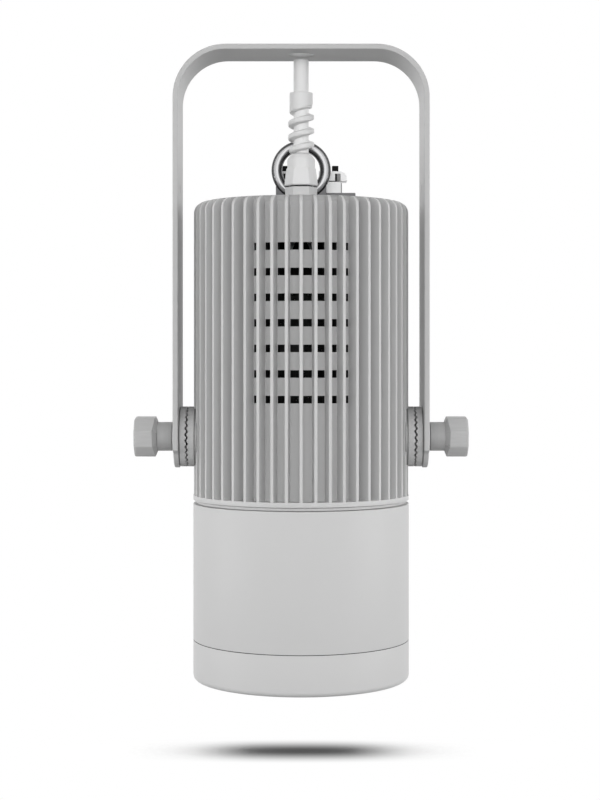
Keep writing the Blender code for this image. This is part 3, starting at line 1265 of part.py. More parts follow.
def make_socket(word, x, outward, head):
    """One socket: body with its mouth and hinge ears, pin, cap and the cap's black tab."""
    half = SOCKET_WIDTH / 2
    deep = SOCKET_DEPTH / 2
    bm = bmesh.new()
    low = SINK_TOP - SOCKET_BELOW
    add_box(bm, (x - half, SOCKET_Y - deep, low), (x + half, SOCKET_Y + deep, SOCKET_TOP))
    body = part_from(word + "_socket", bm, WHITE_PLASTIC, head)
    join(body, ear_tool(word, x, head))
    bm = bmesh.new()
    add_box(
        bm,
        (x - SOCKET_MOUTH_WIDTH / 2, SOCKET_Y - SOCKET_MOUTH_DEPTH / 2, SOCKET_MOUTH_FLOOR),
        (x + SOCKET_MOUTH_WIDTH / 2, SOCKET_Y + SOCKET_MOUTH_DEPTH / 2, SOCKET_TOP + CUT_PAST),
    )
    cut(body, cutter_from(word + "_socket_mouth", bm, head))
    reach = BARREL_HALF + SEAT_GAP + EAR_WIDTH
    centre = (HINGE_Y, HINGE_Z)
    pin_hole = rod_cutter(word + "_pin_hole", PIN_RADIUS + HOLE_PLAY, (x - reach - CUT_PAST, *centre),
                          (x + reach + CUT_PAST, *centre), head, TINY_ROUND)
    cut(body, pin_hole)
    bm = bmesh.new()
    add_rod(bm, PIN_RADIUS, (x - reach, *centre), (x + reach, *centre), TINY_ROUND)
    part_from(word + "_cap_pin", bm, PLAIN_STEEL, head)
    hinge = joint_empty(word + "_cap_hinge", (x, HINGE_Y, HINGE_Z))
    hinge.parent = head
    make_cap(word, outward, hinge)


def ear_tool(word, x, head):
    """Two rounded ears behind the socket that hold the cap's pin."""
    bm = bmesh.new()
    socket_rear = SOCKET_Y + SOCKET_DEPTH / 2
    for towards in (-1, 1):
        near = x + towards * (BARREL_HALF + SEAT_GAP)
        far = near + towards * EAR_WIDTH
        low = min(near, far)
        high = max(near, far)
        profile = [(socket_rear - CUT_PAST, EAR_FOOT_Z), (HINGE_Y + EAR_RADIUS, EAR_FOOT_Z)]
        profile += arc(HINGE_Y, HINGE_Z, EAR_RADIUS, 0, 180, 6)
        under = SOCKET_TOP - CUT_PAST
        profile += [(HINGE_Y - EAR_RADIUS, under), (socket_rear - CUT_PAST, under)]
        corners = [bm.verts.new((low, y, z)) for y, z in profile]
        side = bm.faces.new(corners)
        grown = bmesh.ops.extrude_face_region(bm, geom=[side])["geom"]
        moved = [item for item in grown if isinstance(item, bmesh.types.BMVert)]
        bmesh.ops.translate(bm, vec=(high - low, 0, 0), verts=moved)
    return cutter_from(word + "_ears", bm, head)


def make_cap(word, outward, hinge):
    """A flip cap, modelled from its hinge axis, with the thumb tab on top."""
    low = SOCKET_TOP + 2 * SEAT_GAP - HINGE_Z
    high = low + CAP_THICKNESS
    reach_left = CAP_REACH_IN if outward > 0 else CAP_REACH_OUT
    reach_right = CAP_REACH_OUT if outward > 0 else CAP_REACH_IN
    front = CAP_FRONT_Y - HINGE_Y
    rear = CAP_REAR_Y - HINGE_Y
    bm = bmesh.new()
    add_box(bm, (-reach_left, front, low), (reach_right, rear, high))
    outer_x = reach_right if outward > 0 else -reach_left
    corner = [
        edge for edge in bm.edges
        if all(abs(v.co.x - outer_x) < SEAT_GAP and abs(v.co.z - high) < SEAT_GAP for v in edge.verts)
    ]
    bmesh.ops.bevel(
        bm, geom=corner, offset=CAP_CORNER, segments=4, profile=0.5, affect="EDGES", material=-1
    )
    cap = part_from(word + "_cap", bm, WHITE_PLASTIC, hinge)
    bm = bmesh.new()
    add_rod(bm, BARREL_RADIUS, (-BARREL_HALF, 0, 0), (BARREL_HALF, 0, 0), TINY_ROUND)
    barrel = cutter_from(word + "_cap_barrel", bm, hinge)
    bm = bmesh.new()
    tongue = TONGUE_SHARE * BARREL_HALF
    add_box(bm, (-tongue, rear - CUT_PAST, -BARREL_RADIUS / 2), (tongue, 0, BARREL_RADIUS / 2))
    join(cap, cutter_from(word + "_cap_tongue", bm, hinge))
    join(cap, barrel)
    reach = BARREL_HALF + CUT_PAST
    bore = PIN_RADIUS + HOLE_PLAY
    cut(cap, rod_cutter(word + "_barrel_bore", bore, (-reach, 0, 0), (reach, 0, 0), hinge, TINY_ROUND))
    tab_x = outward * TAB_OFFSET_X
    tab_low = high + SEAT_GAP
    bm = bmesh.new()
    add_box(
        bm,
        (tab_x - TAB_WIDTH / 2, front, tab_low),
        (tab_x + TAB_WIDTH / 2, front + TAB_DEPTH, tab_low + TAB_HEIGHT),
    )
    part_from(word + "_cap_tab", bm, BLACK_PLASTIC, hinge)


def make_lamp():
    tilt = joint_empty("tilt_axis", (0.0, 0.0, PIVOT_Z))
    left = joint_empty("left_knob_axis", (0.0, 0.0, PIVOT_Z), (0.0, -math.pi / 2, 0.0))
    right = joint_empty("right_knob_axis", (0.0, 0.0, PIVOT_Z), (0.0, math.pi / 2, 0.0))
    make_yoke()
    make_tilt_lock("left", left, KNOB_TURN)
    make_tilt_lock("right", right, -KNOB_TURN)
    make_heatsink(tilt)
    make_housing(tilt)
    make_bezel(tilt)
    make_light_engine(tilt)
    make_fan(tilt)
    make_electronics(tilt)
    make_cover(tilt)
    make_gland(tilt)
    make_cables(tilt)
    make_guard(tilt)
    make_safety_eye(tilt)
    make_sockets(tilt)


clear_scene()
PARTS = new_collection("led_wash_light")
CUTTERS = new_collection("cutters")
make_lamp()
bpy.context.view_layer.update()
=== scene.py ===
import math

import bmesh
import bpy
from mathutils import Matrix, Vector


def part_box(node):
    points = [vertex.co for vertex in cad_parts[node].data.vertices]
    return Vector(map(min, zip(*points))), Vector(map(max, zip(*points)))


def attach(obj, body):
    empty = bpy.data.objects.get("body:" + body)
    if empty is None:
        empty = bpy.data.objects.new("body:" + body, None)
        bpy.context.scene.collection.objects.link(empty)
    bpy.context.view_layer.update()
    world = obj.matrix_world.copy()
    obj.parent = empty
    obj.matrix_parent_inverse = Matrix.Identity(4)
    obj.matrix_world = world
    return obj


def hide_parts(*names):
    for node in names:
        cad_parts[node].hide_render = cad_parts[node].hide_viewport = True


bl_info = {
    "name": "LED wash light",
    "version": (1, 0, 0),
    "blender": (4, 5, 0),
    "location": "View3D > Sidebar > Wash light",
    "description": "Builds the finished pieces, materials and studio of a LED wash light",
    "category": "Object",
}

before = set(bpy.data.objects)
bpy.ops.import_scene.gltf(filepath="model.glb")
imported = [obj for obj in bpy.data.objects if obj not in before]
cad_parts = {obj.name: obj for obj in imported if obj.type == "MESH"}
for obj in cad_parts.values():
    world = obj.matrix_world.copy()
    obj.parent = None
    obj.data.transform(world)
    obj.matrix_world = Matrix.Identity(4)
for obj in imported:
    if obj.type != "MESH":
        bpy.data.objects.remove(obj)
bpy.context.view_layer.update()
BOX = {name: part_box(name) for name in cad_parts}
MM = 0.001
SIDES = ((-1, "left"), (1, "right"))


def near(node):
    """The low corner of a solid's box."""
    return BOX[node][0]


def far(node):
    """The high corner of a solid's box."""
    return BOX[node][1]


# The tilt axis, from the stud that lies on it
AXIS_Z = (near("left_stud").z + far("left_stud").z) / 2
STRAP_THICK = 3 * MM
STRAP_INNER = far("yoke").x - STRAP_THICK
HOUSING_RADIUS = far("lower_housing").x
SINK_TOP = far("heatsink").z
SINK_LOW = near("heatsink").z
# The holes in the strap and the discs that the knobs' studs go through
STUD_HOLE = 4.3 * MM
# The outer face of the heatsink's side pads, where the head's discs sit
PAD_FACE = 57.1 * MM
# The lamp hangs a little above the floor
FLOOR = near("bezel").z - 41 * MM
# The radius of the wire that the safety ring is bent from
RING_WIRE = 3.1 * MM
# Places closer than this count as one
CLOSE = 1e-6
# The same where a finer shape keeps its small steps
CLOSER = 1e-7


class WashlightSizes(bpy.types.PropertyGroup):
    """Sizes of the finished pieces"""

    strap_edge: bpy.props.FloatProperty(
        name="Strap edge", description="Rounding of the yoke strap's edges",
        default=0.6 * MM, unit="LENGTH")
    fin_count: bpy.props.IntProperty(
        name="Fins", description="Number of fins round the heatsink", default=48, min=8)
    fin_thickness: bpy.props.FloatProperty(
        name="Fin thickness", description="Thickness of one fin", default=1.65 * MM, unit="LENGTH")
    fin_crown: bpy.props.FloatProperty(
        name="Fin crown", description="Radius of the fins' top corners",
        default=6 * MM, unit="LENGTH")
    vent_rows: bpy.props.IntProperty(
        name="Vent rows", description="Rows of vents on the front and on the rear", default=7, min=1)
    housing_edge: bpy.props.FloatProperty(
        name="Housing edge", description="Rounding of the housing's outer edges",
        default=0.22 * MM, unit="LENGTH")
    disc_teeth: bpy.props.IntProperty(
        name="Disc teeth", description="Teeth round each tilt disc", default=30, min=6)
    knob_edge: bpy.props.FloatProperty(
        name="Knob edge", description="Chamfer at the knob's outer end", default=1.4 * MM, unit="LENGTH")
    guard_pitch: bpy.props.FloatProperty(
        name="Guard pitch", description="Rise of the spiral guard in one turn",
        default=7.56 * MM, unit="LENGTH")
    round_steps: bpy.props.IntProperty(
        name="Round steps", description="Sides of the large turned pieces", default=192, min=24)


class WashlightFinish(bpy.types.PropertyGroup):
    """Colours and light of the finished lamp"""

    paint: bpy.props.FloatVectorProperty(
        name="Paint", description="Powder coat of the heatsink and housing",
        subtype="COLOR", size=3, min=0, max=1, default=(0.560, 0.560, 0.560))
    strap: bpy.props.FloatVectorProperty(
        name="Strap paint", description="Powder coat of the yoke strap",
        subtype="COLOR", size=3, min=0, max=1, default=(0.490, 0.490, 0.490))
    cast: bpy.props.FloatVectorProperty(
        name="Cast discs", description="Speckled coat of the tilt discs",
        subtype="COLOR", size=3, min=0, max=1, default=(0.500, 0.500, 0.500))
    knob: bpy.props.FloatVectorProperty(
        name="Knobs", description="Satin finish of the knobs",
        subtype="COLOR", size=3, min=0, max=1, default=(0.440, 0.440, 0.440))
    gland: bpy.props.FloatVectorProperty(
        name="Gland", description="Moulded plastic of the gland and guard",
        subtype="COLOR", size=3, min=0, max=1, default=(0.680, 0.680, 0.680))
    sheath: bpy.props.FloatVectorProperty(
        name="Cable", description="Sheath of the supply cable",
        subtype="COLOR", size=3, min=0, max=1, default=(0.720, 0.720, 0.720))
    front_light: bpy.props.FloatProperty(
        name="Front light", description="Strength of the soft light in front",
        default=4.0, unit="POWER")
    side_light: bpy.props.FloatProperty(
        name="Side light", description="Strength of each low lamp beside the housing",
        default=1.4, unit="POWER")
    floor_light: bpy.props.FloatProperty(
        name="Floor light", description="Strength of the light that only the floor receives",
        default=250.0, unit="POWER")
    room_light: bpy.props.FloatProperty(
        name="Room light", description="Light from above", default=0.20, min=0)
    band_light: bpy.props.FloatProperty(
        name="Band light", description="Light from the band round the horizon", default=3.15, min=0)
    band_low: bpy.props.FloatProperty(
        name="Band's start", description="Height at which the band starts to fade", default=0.15)
    band_high: bpy.props.FloatProperty(
        name="Band's end", description="Height at which the band has faded", default=0.50)
    right_lean: bpy.props.FloatProperty(
        name="Right lean", description="How much more light comes from the right", default=0.01)
    side_lift: bpy.props.FloatProperty(
        name="Side lift", description="How much more light comes from both sides than from the front",
        default=-0.25)


def colours():
    return bpy.context.scene.washlight_finish


def sizes():
    return bpy.context.scene.washlight_sizes


# Shapes

def moved_verts(grown):
    return [item for item in grown["geom"] if isinstance(item, bmesh.types.BMVert)]


def edges_at(bm, test):
    """The edges with both ends where the test holds."""
    return [edge for edge in bm.edges if all(test(vert.co) for vert in edge.verts)]


def level_edges(bm, height):
    return edges_at(bm, lambda place: abs(place.z - height) < CLOSE)


def face_outwards(bm):
    bmesh.ops.recalc_face_normals(bm, faces=bm.faces[:])


def clean(bm, reach=CLOSE):
    bmesh.ops.remove_doubles(bm, verts=bm.verts[:], dist=reach)
    face_outwards(bm)


def transform(bm, matrix):
    bmesh.ops.transform(bm, matrix=matrix, verts=bm.verts[:])


def add_mesh(bm, other):
    """Adds another bmesh's geometry to this one, and frees it."""
    holder = bpy.data.meshes.new("holder")
    other.to_mesh(holder)
    other.free()
    bm.from_mesh(holder)
    bpy.data.meshes.remove(holder)


def from_axis(point):
    """Distance from the upright axis through the origin."""
    return Vector((point.x, point.y)).length


def widen(vert, factor):
    """Moves a vertex straight towards the upright axis or away from it."""
    vert.co.x *= factor
    vert.co.y *= factor


def spin_profile(bm, corners, steps, closed=True):
    """Turns (radius, height) corners once round the upright axis."""
    verts = [bm.verts.new((radius, 0.0, height)) for radius, height in corners]
    pairs = list(zip(verts, verts[1:]))
    if closed:
        pairs.append((verts[-1], verts[0]))
    edges = [bm.edges.new(pair) for pair in pairs]
    bmesh.ops.spin(bm, geom=verts + edges, cent=(0, 0, 0), axis=(0, 0, 1), dvec=(0, 0, 0),
                   angle=2 * math.pi, steps=steps, use_merge=True, use_duplicate=False)


def turned(corners, steps, closed=True):
    """A bmesh turned from (radius, height) corners. Corners on the axis close its ends."""
    bm = bmesh.new()
    spin_profile(bm, corners, steps, closed)
    clean(bm)
    return bm


def prism(bm, sides, radius, low, high, turn, top_radius=None):
    """An upright prism between two heights, or a cone where its top has another radius."""
    matrix = Matrix.Translation((0, 0, (high + low) / 2)) @ Matrix.Rotation(turn, 4, "Z")
    bmesh.ops.create_cone(bm, cap_ends=True, segments=sides, radius1=radius,
                          radius2=top_radius or radius, depth=high - low, matrix=matrix)


def arc(centre_r, centre_z, radius, start, end, steps):
    """(radius, height) points on an arc, in degrees, both ends included."""
    points = []
    for step in range(steps + 1):
        angle = math.radians(start + (end - start) * step / steps)
        points.append((centre_r + radius * math.cos(angle), centre_z + radius * math.sin(angle)))
    return points


def section(inner, low, outer, high):
    """The corners of a ring with a rectangular section."""
    return [(inner, low), (outer, low), (outer, high), (inner, high)]


def rounded(corners, radius, steps=3):
    """The closed outline with each corner of it rounded, given as (radius, height)."""
    points = []
    for index, corner in enumerate(corners):
        here = Vector(corner)
        before = Vector(corners[index - 1]) - here
        after = Vector(corners[(index + 1) % len(corners)]) - here
        # Two neighbouring corners together take at most nine tenths of a side
        cut = min(radius, 0.45 * before.length, 0.45 * after.length)
        first = here + before.normalized() * cut
        last = here + after.normalized() * cut
        for step in range(steps + 1):
            share = step / steps
            point = (1 - share) ** 2 * first + 2 * share * (1 - share) * here + share ** 2 * last
            points.append((point.x, point.y))
    return points


def bevel_edges(bm, edges, width, segments=2):
    bmesh.ops.bevel(bm, geom=edges, offset=width, segments=segments, affect="EDGES", profile=0.5,
                    material=-1, clamp_overlap=True)


def box_between(bm, low, high):
    size = Vector(high) - Vector(low)
    middle = (Vector(high) + Vector(low)) / 2
    matrix = Matrix.Translation(middle) @ Matrix.Diagonal((*size, 1.0))
    bmesh.ops.create_cube(bm, size=1.0, matrix=matrix)


def bevelled_box(low, high, width, segments=2):
    bm = bmesh.new()
    box_between(bm, low, high)
    bevel_edges(bm, bm.edges[:], width, segments)
    return bm


def along_x(bm, side):
    """Lays an upright shape down along +X or -X through the tilt axis."""
    turn = Matrix.Rotation(side * math.pi / 2, 4, "Y")
    transform(bm, Matrix.Translation((0, 0, AXIS_Z)) @ turn)


def span(node):
    """How far a side piece's inner and outer ends are from the middle plane."""
    low, high = BOX[node]
    return sorted((abs(low.x), abs(high.x)))


def piece(name, bm, body, looks, node, smooth=30):
    """Makes the object, rides it on its body, and replaces a solid if one is named.

    The looks are one finish or two with a space between. The second is for faces marked 1.
    """
    mesh = bpy.data.meshes.new(name)
    bm.to_mesh(mesh)
    bm.free()
    obj = bpy.data.objects.new(name, mesh)
    bpy.context.scene.collection.objects.link(obj)
    for look in looks.split():
        mesh.materials.append(finish(look))
    mesh.shade_smooth()
    mesh.set_sharp_from_angle(angle=math.radians(smooth))
    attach(obj, body)
    if node:
        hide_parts(node)
    return obj


def soften(obj, width, angle=35):
    """A live bevel that catches the light along the piece's edges."""
    bevel = obj.modifiers.new("edges", "BEVEL")
    bevel.width = width
    bevel.segments = 2
    bevel.limit_method = "ANGLE"
    bevel.angle_limit = math.radians(angle)
    bevel.use_clamp_overlap = True
    bevel.harden_normals = True


def keep(node, look, width=0.0):
    """A solid of the frame that stays, with its finish, and with soft edges if a width is given."""
    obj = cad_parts[node]
    if not obj.material_slots:
        obj.data.materials.append(finish(look))
    for each in obj.material_slots:
        each.material = finish(look)
    if width:
        weld = obj.modifiers.new("weld", "WELD")
        weld.merge_threshold = CLOSE
        soften(obj, width)


# Finishes

def add_node(tree, kind, inputs, **settings):
    """A shader node. Its inputs take numbers, colours or other nodes' outputs."""
    node = tree.nodes.new("ShaderNode" + kind)
    for name, value in settings.items():
        setattr(node, name, value)
    for socket, value in inputs.items():
        if isinstance(value, bpy.types.NodeSocket):
            tree.links.new(value, node.inputs[socket])
        else:
            node.inputs[socket].default_value = value
    return node


def calc(tree, operation, *values):
    return add_node(tree, "Math", dict(enumerate(values)), operation=operation).outputs[0]


def spread_about(tree, value, middle, spread, base):
    """The base, moved by the value's distance from its middle times the spread."""
    return calc(tree, "MULTIPLY_ADD", calc(tree, "SUBTRACT", value, middle), spread, base)


def noise(tree, place, scale, detail=2.0, rough=0.5):
    inputs = {"Vector": place, "Scale": scale, "Detail": detail, "Roughness": rough}
    return add_node(tree, "TexNoise", inputs).outputs["Fac"]


def vector_calc(tree, operation, first, second=(0.0, 0.0, 0.0)):
    node = add_node(tree, "VectorMath", {0: first, 1: second}, operation=operation)
    return node.outputs["Value" if operation == "LENGTH" else 0]


def shaded(tree, colour, factor):
    """The colour times a value."""
    return add_node(tree, "VectorMath", {0: colour, "Scale": factor}, operation="SCALE").outputs[0]


def mixed(tree, factor, first, second, blend="MIX"):
    node = add_node(tree, "Mix", {}, data_type="RGBA", blend_type=blend)
    for index, value in ((0, factor), (6, first), (7, second)):
        if isinstance(value, float):
            node.inputs[index].default_value = value
        else:
            tree.links.new(value, node.inputs[index])
    return node.outputs[2]


def object_place(tree):
    return add_node(tree, "TexCoord", {}).outputs["Object"]


def new_group(name, inputs):
    """A node group with named inputs that puts out a colour, a roughness and a height."""
    group = bpy.data.node_groups.new(name, "ShaderNodeTree")
    for label, default in inputs.items():
        kind = "Float" if isinstance(default, float) else {3: "Vector", 4: "Color"}[len(default)]
        socket = group.interface.new_socket(label, in_out="INPUT", socket_type="NodeSocket" + kind)
        socket.default_value = default
    for label, kind in (("Colour", "Color"), ("Roughness", "Float"), ("Height", "Float")):
        group.interface.new_socket(label, in_out="OUTPUT", socket_type="NodeSocket" + kind)
    return group, group.nodes.new("NodeGroupInput").outputs, object_place(group)


def close_group(group, *values):
    """Leads the colour, roughness and height to the group's outputs."""
    result = group.nodes.new("NodeGroupOutput")
    for value, socket in zip(values, result.inputs):
        group.links.new(value, socket)
    return group


MID_GREY = (0.5, 0.5, 0.5, 1.0)


def coat_group():
    """Powder coat: a fine orange peel, and slow changes of tone and gloss."""
    group, source, place = new_group("coat_grain", {
        "Colour": MID_GREY, "Grain scale": 1400.0, "Tone spread": 0.05, "Roughness": 0.5,
        "Roughness spread": 0.12})
    peel = noise(group, place, source["Grain scale"], 3.0)
    slow = noise(group, place, 34.0)
    speck = noise(group, place, 4200.0, 1.0)
    both = calc(group, "MULTIPLY_ADD", speck, 0.45, calc(group, "MULTIPLY", slow, 0.55))
    tone = spread_about(group, both, 0.5, source["Tone spread"], 1.0)
    gloss = spread_about(group, peel, 0.5, source["Roughness spread"], source["Roughness"])
    return close_group(group, shaded(group, source["Colour"], tone), gloss, peel)


def speckle_group():
    """Cast and blasted metal: dark pits and pale grains over a mottled ground."""
    group, source, place = new_group("cast_speckle", {
        "Colour": MID_GREY, "Pit scale": 900.0, "Pit strength": 0.35, "Roughness": 0.6})
    grain = noise(group, place, source["Pit scale"], 4.0, 0.65)
    pits = add_node(group, "TexVoronoi", {"Vector": place, "Scale": source["Pit scale"]})
    pit = calc(group, "MINIMUM", calc(group, "MULTIPLY", pits.outputs["Distance"], 2.2), 1.0)
    both = calc(group, "MULTIPLY_ADD", grain, 0.7, calc(group, "MULTIPLY", pit, 0.3))
    tone = spread_about(group, both, 0.55, source["Pit strength"], 1.0)
    rough = spread_about(group, both, 0.55, 0.3, source["Roughness"])
    return close_group(group, shaded(group, source["Colour"], tone), rough, both)


def streak_group():
    """Fine drawn or turned streaks, long in the directions that Stretch makes small."""
    group, source, place = new_group("drawn_streaks", {
        "Colour": MID_GREY, "Stretch": (60.0, 1800.0, 1800.0), "Tone spread": 0.18,
        "Roughness": 0.35, "Roughness spread": 0.25})
    streak = noise(group, vector_calc(group, "MULTIPLY", place, source["Stretch"]), 1.0, 4.0, 0.6)
    tone = spread_about(group, streak, 0.5, source["Tone spread"], 1.0)
    rough = spread_about(group, streak, 0.5, source["Roughness spread"], source["Roughness"])
    return close_group(group, shaded(group, source["Colour"], tone), rough, streak)


def board_group():
    """A circuit board: lacquer over tracks, with tinned pads here and there."""
    group, source, place = new_group("board_tracks", {
        "Colour": (0.02, 0.14, 0.07, 1.0), "Track colour": (0.03, 0.24, 0.12, 1.0),
        "Pad colour": (0.55, 0.55, 0.52, 1.0), "Track scale": 420.0})
    cells = add_node(group, "TexVoronoi", {"Vector": place, "Scale": source["Track scale"]},
                     distance="CHEBYCHEV", feature="F1").outputs["Distance"]
    track = calc(group, "GREATER_THAN", cells, 0.42)
    pad = calc(group, "LESS_THAN", cells, 0.12)
    lacquer = mixed(group, track, source["Colour"], source["Track colour"])
    colour = mixed(group, pad, lacquer, source["Pad colour"])
    rough = calc(group, "MULTIPLY_ADD", noise(group, place, 300.0), 0.25, 0.25)
    return close_group(group, colour, rough, track)


MAKERS = {"coat": coat_group, "speckle": speckle_group, "streak": streak_group, "board": board_group}
GROUPS = {}
FINISHES = {}


def grey(tone):
    return (tone, tone, tone)


# Each finish: its group, its colour, its bump in millimetres, the shader's own values and
# those of the group. A colour may be one that the panel names, times the number after it.
LOOKS = {
    "grey_powder_coat": ("coat", "paint 1.0", 0.012, {"Specular IOR Level": 0.35}, {"Roughness": 0.46}),
    "strap_powder_coat": ("coat", "strap 1.0", 0.012, {"Specular IOR Level": 0.25}, {"Roughness": 0.5}),
    "speckled_cast_coat": ("speckle", "cast 1.0", 0.09, {}, {"Roughness": 0.62}),
    "satin_knob": ("streak", "knob 1.0", 0.006, {}, {
        "Tone spread": 0.22, "Roughness": 0.42, "Stretch": (90.0, 1300.0, 1300.0)}),
    # 0.88 times as dark as the head, for the neck and the head's faces that look towards the yoke
    "satin_knob_neck": ("streak", "knob 0.88", 0.006, {}, {
        "Tone spread": 0.16, "Roughness": 0.45, "Stretch": (1500.0, 60.0, 60.0)}),
    "gland_plastic": ("coat", "gland 1.0", 0.01, {}, {
        "Grain scale": 2600.0, "Tone spread": 0.05, "Roughness": 0.38}),
    # The gland's plastic made darker for its foot: painted shade under the nut
    "gland_foot_plastic": ("coat", "gland 0.78", 0.01, {}, {
        "Grain scale": 2600.0, "Tone spread": 0.05, "Roughness": 0.42}),
    "cable_sheath": ("streak", "sheath 1.0", 0.006, {}, {
        "Tone spread": 0.06, "Roughness": 0.42, "Stretch": (1100.0, 1100.0, 90.0)}),
    "plain_steel": ("streak", (0.55, 0.55, 0.56), 0.006, {"Metallic": 1.0}, {
        "Roughness": 0.3, "Stretch": (1800.0, 500.0, 500.0)}),
    # The ring's steel gets a painted reflection on top: bright and dark bands across its wire
    "ring_steel": ("streak", (0.8, 0.8, 0.81), 0.003, {"Metallic": 1.0}, {
        "Tone spread": 0.1, "Roughness": 0.16, "Roughness spread": 0.08,
        "Stretch": (900.0, 900.0, 900.0)}),
    "bare_aluminium": ("streak", (0.68, 0.68, 0.69), 0.006, {"Metallic": 1.0}, {
        "Roughness": 0.34, "Stretch": (300.0, 300.0, 2200.0)}),
    "dark_plated_metal": ("coat", (0.17, 0.17, 0.175), 0.015, {"Metallic": 0.6}, {
        "Tone spread": 0.2, "Roughness": 0.42}),
    "white_plastic": ("coat", grey(0.95), 0.008, {}, {
        "Grain scale": 2400.0, "Tone spread": 0.04, "Roughness": 0.35}),
    "black_plastic": ("coat", grey(0.008), 0.02, {"Specular IOR Level": 0.12}, {
        "Tone spread": 0.4, "Roughness": 0.6}),
    # Dark grey for the thin boxes that paint shade: the caps' notches and the sockets' corners
    "grey_latch_plastic": ("coat", grey(0.26), 0.01, {}, {"Tone spread": 0.12, "Roughness": 0.45}),
    # Black rubber for the seals, and painted shadow in the gland's neck and the bezel's joint
    "black_rubber": ("coat", grey(0.02), 0.03, {}, {"Tone spread": 0.5, "Roughness": 0.75}),
    "grey_silicone": ("coat", grey(0.50), 0.02, {}, {"Tone spread": 0.08, "Roughness": 0.6}),
    # Near black for the tube's inner faces: painted shade inside the vents
    "blackened_bore": ("coat", grey(0.018), 0.02, {"Specular IOR Level": 0.15}, {
        "Tone spread": 0.4, "Roughness": 0.7}),
    "black_anodised_sheet": (
        "streak", (0.03, 0.03, 0.032), 0.006, {"Metallic": 0.2, "Specular IOR Level": 0.2}, {
            "Roughness": 0.5, "Stretch": (300.0, 300.0, 2200.0)}),
    "winding_tape": ("streak", grey(0.03), 0.05, {}, {
        "Tone spread": 0.5, "Roughness": 0.5, "Stretch": (120.0, 120.0, 2600.0)}),
    # Near-black board lacquer, which also paints the shade inside the heatsink seen through the vents
    "board_lacquer": ("board", (0.010, 0.012, 0.011), 0.02, {"Specular IOR Level": 0.2}, {
        "Track colour": (0.022, 0.026, 0.024, 1.0), "Pad colour": (0.12, 0.12, 0.115, 1.0)}),
    "white_board_lacquer": ("board", (0.75, 0.75, 0.73), 0.02, {}, {
        "Track colour": (0.62, 0.62, 0.60, 1.0), "Pad colour": (0.8, 0.7, 0.25, 1.0),
        "Track scale": 260.0}),
    "clear_glass": ("coat", (0.97, 0.985, 0.98), 0.0, {"Transmission Weight": 1.0, "IOR": 1.47}, {
        "Tone spread": 0.02, "Roughness": 0.004, "Roughness spread": 0.008, "Grain scale": 120.0}),
    "lens_plastic": ("coat", (0.92, 0.94, 0.95), 0.002, {"Transmission Weight": 0.55, "IOR": 1.49}, {
        "Tone spread": 0.03, "Roughness": 0.10, "Roughness spread": 0.04}),
}


def finish(name):
    """The named material. Its colour, roughness and bump come from one of the groups."""
    if name in FINISHES:
        return FINISHES[name]
    kind, colour, bump, own, values = LOOKS[name]
    if isinstance(colour, str):
        label, factor = colour.split()
        colour = [float(factor) * value for value in getattr(colours(), label)]
    if kind not in GROUPS:
        GROUPS[kind] = MAKERS[kind]()
    material = bpy.data.materials.new(name)
    material.use_nodes = True
    material.diffuse_color = (*colour, 1.0)
    tree = material.node_tree
    shader = tree.nodes["Principled BSDF"]
    for label, value in own.items():
        shader.inputs[label].default_value = value
    grain = tree.nodes.new("ShaderNodeGroup")
    grain.node_tree = GROUPS[kind]
    for label, value in {"Colour": (*colour, 1.0), **values}.items():
        grain.inputs[label].default_value = value
    relief = add_node(tree, "Bump", {
        "Distance": bump * MM, "Strength": 1.0, "Height": grain.outputs["Height"]})
    tree.links.new(grain.outputs["Colour"], shader.inputs["Base Color"])
    tree.links.new(grain.outputs["Roughness"], shader.inputs["Roughness"])
    tree.links.new(relief.outputs["Normal"], shader.inputs["Normal"])
    FINISHES[name] = material
    return material


def paint_ring_reflection_bands():
    """Paints a reflection into the ring steel's colour: a bright painted band between darker painted bands
    on its inner and outer sides.
    """
    tree = finish("ring_steel").node_tree
    base = tree.nodes["Principled BSDF"].inputs["Base Color"]
    low, high = BOX["safety_eye"]
    centre = (0.0, (low.y + high.y) / 2, high.z - high.x)
    away = vector_calc(tree, "LENGTH", vector_calc(tree, "SUBTRACT", object_place(tree), centre))
    across = add_node(tree, "MapRange", {
        "Value": away, "From Min": high.x - 2 * RING_WIRE, "From Max": high.x})
    painted_reflection_bands = add_node(tree, "ValToRGB", {"Fac": across.outputs["Result"]})
    # Tones of the painted reflection across the wire, from its inner side to its outer
    stops = ((0.0, 0.30), (0.16, 0.10), (0.32, 0.12), (0.42, 0.62), (0.82, 0.70), (0.90, 0.08),
             (1.0, 0.05))
    ramp = painted_reflection_bands.color_ramp
    while len(ramp.elements) < len(stops):
        ramp.elements.new(0.5)
    for element, (position, tone) in zip(ramp.elements, stops):
        element.position = position
        element.color = (*grey(tone), 1.0)
    grain = base.links[0].from_socket
    tree.links.new(mixed(tree, 1.0, grain, painted_reflection_bands.outputs["Color"], "MULTIPLY"), base)


# Studio

def looked_at(tree):
    """1 for rays from the camera, from gloss and through glass, and 0 for those that only light."""
    path = add_node(tree, "LightPath", {}).outputs
    straight = calc(tree, "ADD", path["Is Camera Ray"], path["Is Glossy Ray"])
    return calc(tree, "MINIMUM", calc(tree, "ADD", straight, path["Is Transmission Ray"]), 1.0)


def mixed_shaders(tree, factor, first, second):
    inputs = {"Fac": factor, 1: first.outputs[0], 2: second.outputs[0]}
    return add_node(tree, "MixShader", inputs)


